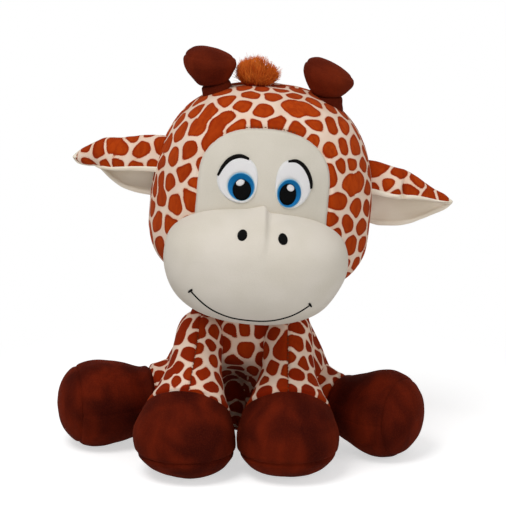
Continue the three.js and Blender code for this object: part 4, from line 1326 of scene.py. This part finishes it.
def make_eye(side, sign):
    """The layers lie one in another, each a little higher than the last, under the rim and the lid line."""
    layers = EYE_LAYERS[side]
    white = leaning_oval(*layers["white"], bulge=EYE_BULGE * sign, power=EYE_POWER)
    iris, pupil = leaning_oval(*layers["iris"]), leaning_oval(*layers["pupil"])
    glint = leaning_oval(*layers["glint"], lean=-GLINT_LEAN * sign)
    point = np.broadcast_to(glint.mean(axis=0), glint.shape)
    stack = [
        ("eye_white", white, iris, "white_thread", white_thread, 0.0, "flat"),
        ("iris", iris, pupil, "blue_thread", blue_thread, 0.12, "around"),
        ("pupil", pupil, glint, "black_thread", black_thread, 0.2, "flat"),
        ("eye_glint", glint, point, "white_thread", white_thread, 0.3, "flat"),
    ]
    for part, outer, inner, slot, material, lift, rows in stack:
        make_patch(f"{side}_{part}_thread", outer, inner, on_face, material, THREAD_BASE + lift,
                   f"{side}_{part}", rows)
    rim = np.vstack([white, white[:1]])
    make_band(f"{side}_eye_rim", rim, np.full(len(rim), RIM_HALF_WIDTH), on_face,
              rim_thread, THREAD_BASE, height=RIM_HEIGHT)
    x, height, half_width, half_height = layers["white"]
    out, up = smooth_run(LID_SHARES[side], 70).T
    lid = np.stack([x + sign * half_width * out, height + half_height * up], axis=1)
    taper = np.sin(np.pi * np.linspace(*LID_ENDS, len(lid))) ** LID_TAPER
    make_band(f"{side}_eyelid_thread", lid, LID_HALF_WIDTH * taper, on_face, lid_thread,
              THREAD_BASE + LID_LIFT, f"{side}_eyelid_line", height=LID_HEIGHT)


for side, sign in SIDES.items():
    make_eye(side, sign)


# Nostrils and smile
# Two black satin-stitched nostrils on the muzzle, and one thin black line of thread for the mouth, with a
# short stitch across each end.
NOSTRILS = {"left": (16.8, 78.3, 3.9, 4.7), "right": (-18.1, 77.9, 4.1, 4.4)}
NOSTRIL_LEAN = 0.45
SMILE_SHIFT = -5.0
SMILE_HALF_WIDTH = 52.8
SMILE_LOW = 1.2
SMILE_RISE = 19.1
SMILE_TILT = -1.3
SMILE_POWER = 2.3
SMILE_THICKNESS = 0.55
SMILE_LIFT = 0.25
SMILE_HEIGHT = 0.7
TICK_HALF_LENGTH = 2.5
TICK_POINTS = 12
TICK_LIFT = 0.3
TICK_HEIGHT = 0.9


def muzzle_fullness():
    """For each depth of the muzzle, how full its section is there."""
    places = np.linspace(0.5, 1, 500)
    depth = muzzle_form.surface(places, np.zeros_like(places))
    return (depth[:, 0] - MUZZLE_SHIFT) / MUZZLE_HALF_WIDTH, depth[:, 1]


def muzzle_point(flat):
    """The point of the muzzle's front at a place in the plane of the face."""
    share = np.abs((flat[..., 0] - MUZZLE_SHIFT) / MUZZLE_HALF_WIDTH) ** MUZZLE_SECTION
    share = share + np.abs((flat[..., 1] - MUZZLE_CENTRE) / MUZZLE_HALF_HEIGHT) ** MUZZLE_SECTION
    full, depth = muzzle_fullness()
    y = np.interp(share ** (1 / MUZZLE_SECTION), full[::-1], depth[::-1])
    return np.stack([flat[..., 0], y, flat[..., 1]], axis=-1)


def on_muzzle(flat, lift):
    """Places drawn on the plane of the face, laid on the muzzle's front and raised by lift."""
    points = muzzle_point(flat)
    step = 0.6
    right = muzzle_point(flat + (step, 0)) - muzzle_point(flat - (step, 0))
    up = muzzle_point(flat + (0, step)) - muzzle_point(flat - (0, step))
    outward = np.cross(right, up)
    outward /= np.linalg.norm(outward, axis=-1, keepdims=True)
    outward *= np.sign(-outward[..., 1:2])
    return cut_to_seam(points) + outward * (muzzle_relief(points) + lift)[..., None]


def make_nostrils_and_smile():
    """All three are laid on the finished muzzle, so they follow its lumps and its middle seam."""
    for side, sign in SIDES.items():
        outer = leaning_oval(*NOSTRILS[side], lean=NOSTRIL_LEAN * sign, samples=60)
        point = np.broadcast_to(outer.mean(axis=0), outer.shape)
        make_patch(f"{side}_nostril_thread", outer, point, on_muzzle, black_thread,
                   THREAD_BASE, f"{side}_nostril")
    share = np.linspace(-1, 1, 160)
    bow = SMILE_LOW + SMILE_TILT * share + SMILE_RISE * np.abs(share) ** SMILE_POWER
    line = np.stack([SMILE_SHIFT + SMILE_HALF_WIDTH * share, bow], axis=1)
    make_band("smile_thread", line, np.full(len(line), SMILE_THICKNESS), on_muzzle,
              black_thread, SMILE_LIFT, "smile_line", height=SMILE_HEIGHT)
    slope = SMILE_RISE * SMILE_POWER / SMILE_HALF_WIDTH
    for side, sign in SIDES.items():
        across = np.array([-sign * slope, 1]) / math.hypot(slope, 1)
        end = line[-1] if sign > 0 else line[0]
        ends = end + np.linspace(-TICK_HALF_LENGTH, TICK_HALF_LENGTH, TICK_POINTS)[:, None] * across
        fade = np.sqrt(np.sin(np.linspace(0.25, math.pi - 0.25, TICK_POINTS)))
        make_band(f"{side}_smile_tick", ends, fade, on_muzzle, black_thread, TICK_LIFT,
                  height=TICK_HEIGHT)


make_nostrils_and_smile()


# Ears
# Each ear is a leaf of spotted cloth backed with cream, folded lengthwise so that the spotted side shows
# above and the lining below. The lining is rolled over the fold's edge as a hem, and the root is sewn to
# the head.
EAR_LENGTH = 75
EAR_HALF_HEIGHT = 28.5
EAR_HALF_DEPTH = 14
EAR_HEIGHT = 100
EAR_BACK = 6
EAR_ROOT = 14
EAR_TURNS = {"left": (3, 0), "right": (1.5, 22)}
EAR_DROPS = {"left": 3.0, "right": 0.0}
EAR_ROUNDING = 7
EAR_TRIMS = {"back": -1.5, "lining": 1}
EAR_RINGS = 110
EAR_OUTLINE = 170
EAR_PINCH = (4.2, 29, 2.2)
EAR_PUFF = (1.8, 22, 5)
EAR_LUMPS = ((1.0, 24), (0.35, 9))
EAR_LUMP_SQUEEZE = (1, 0.6, 0.6)
CALM_TIP = 20
EAR_SEEDS = {"left": 409, "right": 391}
# The ears' spots keep to a middle stretch of the russet range: painted light and shade between the head's
# and the body's.
EAR_PRINT = {"spacing": 16, "swell": 0.3, "painted_light_tones": (0.5, 0.9)}
# The lining's cream is much paler than the face's: painted light that brightens the lining where the fold
# shades it.
LINING_LIT_CREAMS = ("#f1e6d4", "#eaddc8")

# From root to tip: share of the way, half depth, half height, lift and the fold's extra angle.
EAR_RUNS = {
    "left": [
        (0, 1, 0.95, -0.5, 0), (0.18, 1, 0.98, -1, 0), (0.32, 1, 0.97, -2.6, 0),
        (0.47, 0.96, 0.915, -3, -1), (0.6, 0.88, 0.765, -3.5, -7), (0.76, 0.7, 0.49, -3.1, -10),
        (0.91, 0.48, 0.265, -1.3, -4), (1, 0.3, 0.12, 0, 0),
    ],
    "right": [
        (0, 1, 0.97, 3.5, 8), (0.16, 1, 0.95, 2.7, 9), (0.3, 1, 0.91, 1.9, 11),
        (0.43, 0.97, 0.83, 1.8, 16), (0.54, 0.91, 0.71, 2.7, 25), (0.63, 0.84, 0.605, 4.8, 38),
        (0.7, 0.76, 0.49, 6.6, 64), (0.76, 0.7, 0.4, 6.4, 82), (0.83, 0.61, 0.35, 4.5, 86),
        (0.91, 0.48, 0.27, 2.3, 86), (0.97, 0.37, 0.19, 0.8, 86), (1, 0.3, 0.13, 0, 86),
    ],
}

# Round each layer's cut edge: the angle about the leaf, and how far in from its outer side.
EAR_BACK_LOOP = [
    (172, 0), (120, 0), (60, 0), (0, 0), (-50, 0), (-76, 0.2), (-80, 1.0), (-76, 1.7),
    (-50, 1.7), (0, 1.7), (60, 1.7), (120, 1.7), (168, 1.7), (173, 1.1),
]
EAR_LINING_LOOP = [
    (178, -0.3), (175, -0.7), (171, -0.6), (169, 0.4), (172, 1.6), (120, 2.0), (60, 2.0), (0, 2.0),
    (-50, 2.0), (-76, 1.95), (-82, 1.5), (-83.5, 0.6), (-80, -0.35), (-73, -0.45), (-72, -1.1),
    (-80, -1.5), (-87, -0.6), (-88.5, 1.4), (-84, 2.9), (-76, 3.3), (-50, 5), (0, 10), (60, 9),
    (120, 5), (174, 3.0), (180, 1.5),
]
lit_lining_cream = cream_plush("lit lining plush", *LINING_LIT_CREAMS)


def ear_pinch(x, side):
    """How far the front of the left ear is pinched in near its root, beside a small puff."""
    if side == "right":
        return 0
    return bell(x, *EAR_PINCH) - bell(x, *EAR_PUFF)


def ear_layer(loop, side, sign, seed, extra_length):
    """One cloth layer of an ear: a closed outline of angles and insets carried along the curled leaf."""
    length = EAR_ROOT + EAR_LENGTH + extra_length
    girth = smooth_run(EAR_RUNS[side], EAR_RINGS, even=True)
    along, deep, high, lift, fold = girth.T[..., None]
    full = rounded((1 - along) * length, EAR_ROUNDING, 2)
    full[-1] = PATCH_CORE
    outline = smooth_run(loop + loop[:1], EAR_OUTLINE)[:-1]
    degrees, inset = outline[:, 0][None], outline[:, 1][None]
    angle = np.radians(degrees + fold * np.clip((degrees - 100) / 70, 0, 1))
    x = np.broadcast_to(length * along - EAR_ROOT, angle.shape)
    front = np.clip(-np.cos(angle), 0, 1) * np.clip(np.sin(angle) * 6 + 0.4, 0, 1)
    y = (EAR_HALF_DEPTH * deep - inset) * full * np.cos(angle) + ear_pinch(x, side) * front
    z = (EAR_HALF_HEIGHT * high - inset) * full * np.sin(angle) + lift
    corners, faces = skin(np.stack([sign * x, y, z], axis=-1))
    if sign < 0:
        faces = [tuple(reversed(face)) for face in faces]
    outward = corners * (0, 1, 1)
    (broad, broad_size), (small, small_size) = EAR_LUMPS
    wave = broad * lumps(corners * EAR_LUMP_SQUEEZE, broad_size, seed)
    wave += small * lumps(corners, small_size, seed + 1)
    outward /= np.maximum(np.linalg.norm(outward, axis=1, keepdims=True), 1e-6)
    calm_tip = np.clip((EAR_LENGTH - np.abs(corners[:, 0])) / CALM_TIP, 0.1, 1)
    corners = corners + outward * wave[:, None] * calm_tip[:, None]
    droop, sweep = (math.radians(sign * v) for v in EAR_TURNS[side])
    root = (sign * HEAD_HALF_WIDTH, EAR_BACK, EAR_HEIGHT - EAR_DROPS[side])
    return from_head(corners @ turned_about(droop, sweep).T + root), faces


def make_ear(side, sign):
    """Both layers are carried along the same leaf."""
    seed = EAR_SEEDS[side]
    corners, faces = ear_layer(EAR_BACK_LOOP, side, sign, seed, EAR_TRIMS["back"])
    numbers = printed(corners, faces, np.zeros(len(faces), int), seed=seed, **EAR_PRINT)
    back = add_mesh(f"{side}_ear_cloth", corners, faces, spotted, corner_values=numbers)
    corners, faces = ear_layer(EAR_LINING_LOOP, side, sign, seed, EAR_TRIMS["lining"])
    # The lining is cut from the paler cream, painted light against the fold's shade.
    lining = add_mesh(f"{side}_ear_inner_cloth", corners, faces, lit_lining_cream)
    layers = ((back, "ear_back", "spotted_plush"), (lining, "ear_lining", "cream_plush"))
    for piece, stands_for, slot in layers:
        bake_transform(piece)
        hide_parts(f"{side}_{stands_for}")


for side, sign in SIDES.items():
    make_ear(side, sign)


# Horns
# Two short stalks of brown pile, each under a stuffed cap that widens to a sewn rim and closes in a low
# dome. Their roots are sewn into the crown seam, and each leans and slopes in a way of its own.
HORN_SPREADS = {"left": 52, "right": 47}
HORN_LEANS = {"left": -3, "right": 20}
STALK_RADIUS = 13.5
STALK_HEIGHT = 5
STALK_ROOT = 10
CAP_RADIUS = 23
CAP_HEIGHTS = {"left": 30.5, "right": 33}
CAP_TILTS = {"left": -3, "right": 5}
CAP_SLOPES = {"left": 0.36, "right": -0.3}
CAP_SEAM_SHARE = 0.76
STALK_SHARES = [(0, 0), (0.9, 0.02), (1.04, 0.1), (0.99, 0.5), (0.95, 0.9), (0.8, 1), (0, 1)]
CAP_SHARES = [
    (0, 0), (0.42, 0), (0.57, 0.03), (0.7, 0.13), (0.84, 0.28), (0.95, 0.42), (1, 0.54),
    (0.98, 0.66), (0.9, 0.77), (0.74, 0.87), (0.5, 0.955), (0.24, 0.995), (0, 1),
]
HORN_COLUMNS = 96
STALK_RINGS = 40
CAP_RINGS = 80
HORN_LUMPS = ((0.5, 16), (0.25, 7))
HORN_SEEDS = {"left": 505, "right": 495}
CAP_SEAM_CUT = (0.6, 1.2)
CAP_SEAM_WAVER = (1.2, 30)
HORN_BROWNS = ("#4b150a", "#6e2510")
horn_brown = brown_plush("horn plush", *HORN_BROWNS)


def crown_height(spread):
    """How high the crown is, at a distance from the head's middle line."""
    share = abs(spread) / HEAD_HALF_WIDTH
    return HEAD_WIDEST + HEAD_CROWN * (1 - share ** HEAD_PROFILE) ** (1 / HEAD_PROFILE)


def turned_piece(shares, radius, bottom, height, rings, seed, seam_share=None):
    """A round stuffed piece made from its profile, with a seam round it at a share of its height."""
    profile = smooth_run(shares, rings)[1:-1]
    turn = 2 * np.pi * np.arange(HORN_COLUMNS) / HORN_COLUMNS
    out = np.maximum(profile[:, 0], 0.01) * radius
    z = np.broadcast_to((bottom + height * profile[:, 1])[:, None], (len(out), len(turn)))
    points = np.stack([out[:, None] * np.cos(turn), out[:, None] * np.sin(turn), z], axis=-1)
    corners, faces = skin(points)
    relief = stuffing(corners, seed, *HORN_LUMPS)
    if seam_share is not None:
        waver = CAP_SEAM_WAVER[0] * lumps(corners, CAP_SEAM_WAVER[1], seed + 2)
        seam = bottom + height * seam_share + waver
        outward = np.linalg.norm(corners[:, :2], axis=1) / radius
        relief += seam_dip(np.abs(corners[:, 2] - seam), *CAP_SEAM_CUT) * outward
    return corners + normals_of(corners, faces) * relief[:, None], faces


def make_horn(side, sign):
    """Stalk and cap are turned upright, then the cap slopes and tilts, and the whole horn leans."""
    lean = turned_about(math.radians(sign * HORN_LEANS[side]), 0)
    foot = np.array([sign * HORN_SPREADS[side], 0, crown_height(HORN_SPREADS[side])])
    seed = HORN_SEEDS[side]
    height = CAP_HEIGHTS[side]
    stalk, stalk_faces = turned_piece(STALK_SHARES, STALK_RADIUS, -STALK_ROOT, STALK_ROOT + STALK_HEIGHT,
                                      STALK_RINGS, seed)
    cap, cap_faces = turned_piece(CAP_SHARES, CAP_RADIUS, STALK_HEIGHT, height, CAP_RINGS, seed,
                                  CAP_SEAM_SHARE)
    rise = cap[:, 2] - STALK_HEIGHT
    cap[:, 2] -= sign * CAP_SLOPES[side] * cap[:, 0] * rise / height
    middle = (0, 0, STALK_HEIGHT + height / 2)
    cap = (cap - middle) @ turned_about(math.radians(-sign * CAP_TILTS[side]), 0).T + middle
    for part, corners, faces in (("horn_stalk", stalk, stalk_faces), ("horn_cap", cap, cap_faces)):
        piece = add_mesh(f"{side}_{part}_cloth", from_head(corners @ lean.T + foot), faces, horn_brown)
        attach(piece, "head")
        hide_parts(f"{side}_{part}")


for side, sign in SIDES.items():
    make_horn(side, sign)


# Forelock
# A round tuft of long tan pile on the crown, between the horns. Its strands are sewn in by clumps, each of
# one shade, and a few stray ones stand out.
TUFT_ROOT = "#921e02"
TUFT_TANS = ("#b83404", "#f8923c")
STRAND_STEPS = 8
STRAND_SIDES = 3
STRAND_RADIUS = 0.26
FORELOCK_SEED = 7
FORELOCK_SHIFT = -12
FORELOCK_CLUMPS = 95
STRANDS_A_CLUMP = 42
FORELOCK_LIFT = (0, 0, 10.5)
FORELOCK_REACH = (20.5, 15, 16)
FORELOCK_ROOTS = (9, 7, 0)
FORELOCK_ELBOWS = (15, 12, 9)
FORELOCK_CURL = 0.05
ELBOW_LIFT = (0, 0, 5)
ELBOW_STRAY = 1.5
CLUMP_DROOP = 0.25
CLUMP_SPREAD = 0.17
STRAYS_ABOVE = 0.985
STRAY_REACH = 0.28
CLUMP_TONE = 0.72
STRAND_TONE = 0.28
UNEVEN = (0.84, 1.04)


def tuft_pile():
    """Long tan strands, darker at the root and paler at the tip, no two quite alike."""
    material, tree, shader = blank_material("tuft pile", 0.6)
    along = node(tree, "ShaderNodeAttribute", attribute_name="along").outputs["Fac"]
    tone = node(tree, "ShaderNodeAttribute", attribute_name="tone").outputs["Fac"]
    strand = mix_colours(tree, tone, *(ink(code) for code in TUFT_TANS))
    colour = mix_colours(tree, ramp(tree, along, 0.2, 0.85), ink(TUFT_ROOT), strand)
    join(tree, colour, shader.inputs["Base Color"])
    return material


tan_pile = tuft_pile()


def unit(ways):
    """Directions brought to length 1."""
    return ways / np.linalg.norm(ways, axis=-1, keepdims=True)


def add_strands(name, roots, elbows, tips, tones, curl, rng, place):
    """Strands of pile: thin tapered threads that run from root to tip by way of an elbow, and curl."""
    count, steps, sides = len(roots), STRAND_STEPS, STRAND_SIDES
    share = np.linspace(0, 1, steps)[None, :, None]
    start, middle, end = (1 - share) ** 2, 2 * share * (1 - share), share ** 2
    lines = start * roots[:, None] + middle * elbows[:, None] + end * tips[:, None]
    side = unit(np.cross(tips - roots, rng.normal(size=roots.shape)))
    lengths = np.linalg.norm(tips - roots, axis=1)[:, None, None]
    twist = rng.uniform(0, 3, count)[:, None, None]
    lines = lines + side[:, None] * curl * lengths * np.sin(4.5 * share + twist) * share
    tangent = unit(np.gradient(lines, axis=1))
    one = unit(np.cross(tangent, side[:, None]) + 1e-6)
    two = np.cross(tangent, one)
    angle = 2 * np.pi * np.arange(sides) / sides
    thick = STRAND_RADIUS * (1 - 0.75 * share[..., None] ** 2)
    ring = np.cos(angle)[:, None] * one[:, :, None] + np.sin(angle)[:, None] * two[:, :, None]
    corners = (lines[:, :, None] + thick * ring).reshape(-1, 3)
    faces = []
    for base in range(0, len(corners), steps * sides):
        last = base + (steps - 1) * sides
        for k in range(base, last, sides):
            for j in range(sides):
                near, far = k + j, k + (j + 1) % sides
                faces.append((near, far, far + sides, near + sides))
        faces += [(base + 2, base + 1, base), (last, last + 1, last + 2)]
    along = np.broadcast_to(share[..., None], (count, steps, sides, 1)).ravel()
    tone = np.repeat(tones, steps * sides)
    return add_mesh(name, place(corners), faces, tan_pile, values={"along": along, "tone": tone})


def make_forelock():
    """The strands of a clump share a direction, a length and a shade, and stray a little from them."""
    rng = np.random.default_rng(FORELOCK_SEED)
    foot = np.array([FORELOCK_SHIFT, 0, crown_height(FORELOCK_SHIFT)])
    clumps, each = FORELOCK_CLUMPS, STRANDS_A_CLUMP
    leads = rng.normal(size=(clumps, 3))
    leads[:, 2] = np.abs(leads[:, 2]) - CLUMP_DROOP
    ways = np.repeat(unit(leads), each, axis=0)
    ways = unit(ways + CLUMP_SPREAD * rng.normal(size=(clumps * each, 3)))
    reach = np.repeat(rng.uniform(*UNEVEN, clumps), each) * rng.uniform(*UNEVEN, len(ways))
    stray = rng.random(len(ways)) > STRAYS_ABOVE
    tips = foot + FORELOCK_LIFT + ways * FORELOCK_REACH * (reach + STRAY_REACH * stray)[:, None]
    roots = foot + ways * FORELOCK_ROOTS + (0, 0, -1)
    elbows = foot + ELBOW_LIFT + ways * FORELOCK_ELBOWS + ELBOW_STRAY * rng.normal(size=ways.shape)
    tones = CLUMP_TONE * np.repeat(rng.random(clumps), each) + STRAND_TONE * rng.random(len(ways))
    piece = add_strands("forelock_pile", roots, elbows, tips, tones, FORELOCK_CURL, rng, from_head)
    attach(piece, "head")
    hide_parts("forelock")


make_forelock()


# Tail
# A thin tube of the spotted cloth, sewn to the body's back above the rump, with a tuft of the forelock's
# pile at its end.
TAIL_ROOT_HEIGHT = 70
TAIL_REACH = 26
TAIL_DROP = 34
TAIL_RADIUS = 6
TAIL_SPINE_SHARES = [(0, 0), (0.35, 0.1), (0.75, 0.45), (1, 1)]
TAIL_INSIDE = 20
TAIL_ROUNDINGS = (6, 3)
TAIL_PROFILE = 2.4
TAIL_SECTION = 2
TAIL_COLUMNS = 60
TAIL_RINGS = 60
TAIL_SEED = 8
TAIL_STRANDS = 1100
TUFT_LENGTHS = (17, 27)
TAIL_CURL = 0.06
TAIL_PLACE = 0.93
TAIL_LUMPS = (0.3, 9, 81)
TUFT_ROOT_SPREAD = 4.5
TUFT_ROOT_DEPTH = (0, 0, 3)
TUFT_ELBOW_SPREAD = 5
TUFT_TIP_SPREAD = 9
TUFT_STRAY = 1.8
TAIL_PRINT = {"spacing": 10, "swell": 0.5, "seed": 81}


def make_tail():
    """The tube starts inside the body. The tuft hangs from its end."""
    root = np.array([0, RUMP_BACK + BODY_HALF_DEPTH * TAIL_PLACE, TAIL_ROOT_HEIGHT])
    hanging = [root + (0, TAIL_REACH * out, -TAIL_DROP * down) for out, down in TAIL_SPINE_SHARES]
    spine = [root - (0, TAIL_INSIDE, 0)] + hanging
    girth = [(s, TAIL_RADIUS, TAIL_RADIUS) for s in (0, 0.5, 1)]
    form = StuffedForm(spine, girth, TAIL_ROUNDINGS, TAIL_PROFILE, TAIL_SECTION, SIDEWAYS)
    turns = turn_places(TAIL_COLUMNS)
    t, turn = np.meshgrid(ring_places(TAIL_RINGS), turns, indexing="ij")
    corners, faces = skin(form.surface(t, turn))
    relief = TAIL_LUMPS[0] * lumps(corners, *TAIL_LUMPS[1:])
    corners = corners + normals_of(corners, faces) * relief[:, None]
    numbers = printed(corners, faces, np.zeros(len(faces), int), **TAIL_PRINT)
    tube = add_mesh("tail_cloth", corners, faces, spotted, corner_values=numbers)
    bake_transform(tube)
    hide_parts("tail")
    rng = np.random.default_rng(TAIL_SEED)
    count = TAIL_STRANDS
    end = root + (0, TAIL_REACH, -TAIL_DROP)
    turn, out = rng.uniform(0, 2 * np.pi, count), np.sqrt(rng.random(count))
    spread = np.stack([out * np.cos(turn), out * np.sin(turn), np.zeros(count)], axis=1)
    roots = end + TUFT_ROOT_SPREAD * spread + TUFT_ROOT_DEPTH * rng.random((count, 1))
    astray = TUFT_STRAY * rng.normal(size=spread.shape)
    tips = end + TUFT_TIP_SPREAD * spread + astray - UP * rng.uniform(*TUFT_LENGTHS, (count, 1))
    elbows = (roots + tips) / 2 + TUFT_ELBOW_SPREAD * spread
    tuft = add_strands("tail_pile", roots, elbows, tips, rng.random(count), TAIL_CURL, rng, np.array)
    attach(tuft, "tail")
    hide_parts("tail_tuft")


make_tail()


# Floor, light and camera
# A plain white studio: a wide soft lamp high in front on the left, a weaker one low in front, a third at
# the other side, and an even sky. The floor keeps the toy's shadow, and fades to white away from it.
FLOOR_REACH = 12.0
FLOOR_GREY = 0.72
FLOOR_LIFT = 0.56
FLOOR_FADE = (0.22, 0.42)
SKY_STRENGTH = 0.4
LAMPS = {
    "key": ((-0.7, -0.95, 2.1), 1.0, 26),
    "fill": ((0.55, -1.9, 0.45), 1.2, 5.4),
    "side": ((1.5, -0.9, 0.7), 0.9, 3.5),
}
CAMERA_TARGET = Vector((-0.0006, 0.0029, 0.1818))
CAMERA_RISE = math.radians(14)
CAMERA_AWAY = 2.2
CAMERA_SENSOR = 36
VIEW_WIDTH = 0.4554


def background_rays(tree):
    """1 where the eye, a reflection or a look through glass meets the surface, and 0 for other light."""
    seen = node(tree, "ShaderNodeLightPath")
    rays = maths(tree, "MAXIMUM", seen.outputs["Is Camera Ray"], seen.outputs["Is Glossy Ray"])
    return maths(tree, "MAXIMUM", rays, seen.outputs["Is Transmission Ray"])


def make_floor():
    """A wide plain floor that shows as white, but for the shadow close to the toy."""
    corners = [(x * FLOOR_REACH, y * FLOOR_REACH, 0) for x, y in ((-1, -1), (1, -1), (1, 1), (-1, 1))]
    mesh = bpy.data.meshes.new("floor")
    mesh.from_pydata(corners, [], [(0, 1, 2, 3)])
    floor = bpy.data.objects.new("floor", mesh)
    bpy.context.scene.collection.objects.link(floor)
    material = bpy.data.materials.new("white floor")
    material.use_nodes = True
    tree = material.node_tree
    tree.nodes.clear()
    rays = background_rays(tree)
    place = node(tree, "ShaderNodeTexCoord").outputs["Object"]
    away = node(tree, "ShaderNodeVectorMath", operation="LENGTH")
    join(tree, place, away.inputs[0])
    far = ramp(tree, away.outputs["Value"], *FLOOR_FADE)
    diffuse = node(tree, "ShaderNodeBsdfDiffuse")
    diffuse.inputs["Color"].default_value = (FLOOR_GREY, FLOOR_GREY, FLOOR_GREY, 1)
    lift = node(tree, "ShaderNodeEmission")
    join(tree, maths(tree, "MULTIPLY", rays, FLOOR_LIFT), lift.inputs["Strength"])
    lifted = node(tree, "ShaderNodeAddShader")
    join(tree, diffuse.outputs["BSDF"], lifted.inputs[0])
    join(tree, lift.outputs["Emission"], lifted.inputs[1])
    glow = node(tree, "ShaderNodeEmission")
    blend = node(tree, "ShaderNodeMixShader")
    join(tree, maths(tree, "MULTIPLY", rays, far), blend.inputs["Fac"])
    join(tree, lifted.outputs["Shader"], blend.inputs[1])
    join(tree, glow.outputs["Emission"], blend.inputs[2])
    join(tree, blend.outputs["Shader"], node(tree, "ShaderNodeOutputMaterial").inputs["Surface"])
    mesh.materials.append(material)


def make_sky():
    """An even white sky, which lights the toy weakly and shows as pure white."""
    world = bpy.data.worlds.new("studio")
    bpy.context.scene.world = world
    world.use_nodes = True
    tree = world.node_tree
    light = tree.nodes["Background"]
    light.inputs["Color"].default_value = (1, 1, 1, 1)
    shown = maths(tree, "MULTIPLY", background_rays(tree), 1 - SKY_STRENGTH)
    join(tree, maths(tree, "ADD", shown, SKY_STRENGTH), light.inputs["Strength"])


def add_lamp(name, place, size, power):
    """A square soft lamp that points at what the camera looks at."""
    data = bpy.data.lights.new(name, "AREA")
    data.size = size
    data.energy = power
    lamp = bpy.data.objects.new(name, data)
    lamp.location = place
    lamp.rotation_euler = (CAMERA_TARGET - Vector(place)).to_track_quat("-Z", "Y").to_euler()
    bpy.context.scene.collection.objects.link(lamp)


def make_studio():
    """The camera looks a little down at the toy's middle, from far enough away for a flat view."""
    make_floor()
    make_sky()
    for name, (place, size, power) in LAMPS.items():
        add_lamp(name, place, size, power)
    data = bpy.data.cameras.new("camera")
    data.sensor_width = CAMERA_SENSOR
    data.lens = data.sensor_width * CAMERA_AWAY / VIEW_WIDTH
    camera = bpy.data.objects.new("camera", data)
    towards = Vector((0, -math.cos(CAMERA_RISE), math.sin(CAMERA_RISE)))
    camera.location = CAMERA_TARGET + towards * CAMERA_AWAY
    camera.rotation_euler = (math.pi / 2 - CAMERA_RISE, 0, 0)
    bpy.context.scene.collection.objects.link(camera)
    bpy.context.scene.camera = camera
    bpy.context.scene.view_settings.view_transform = "Standard"


make_studio()
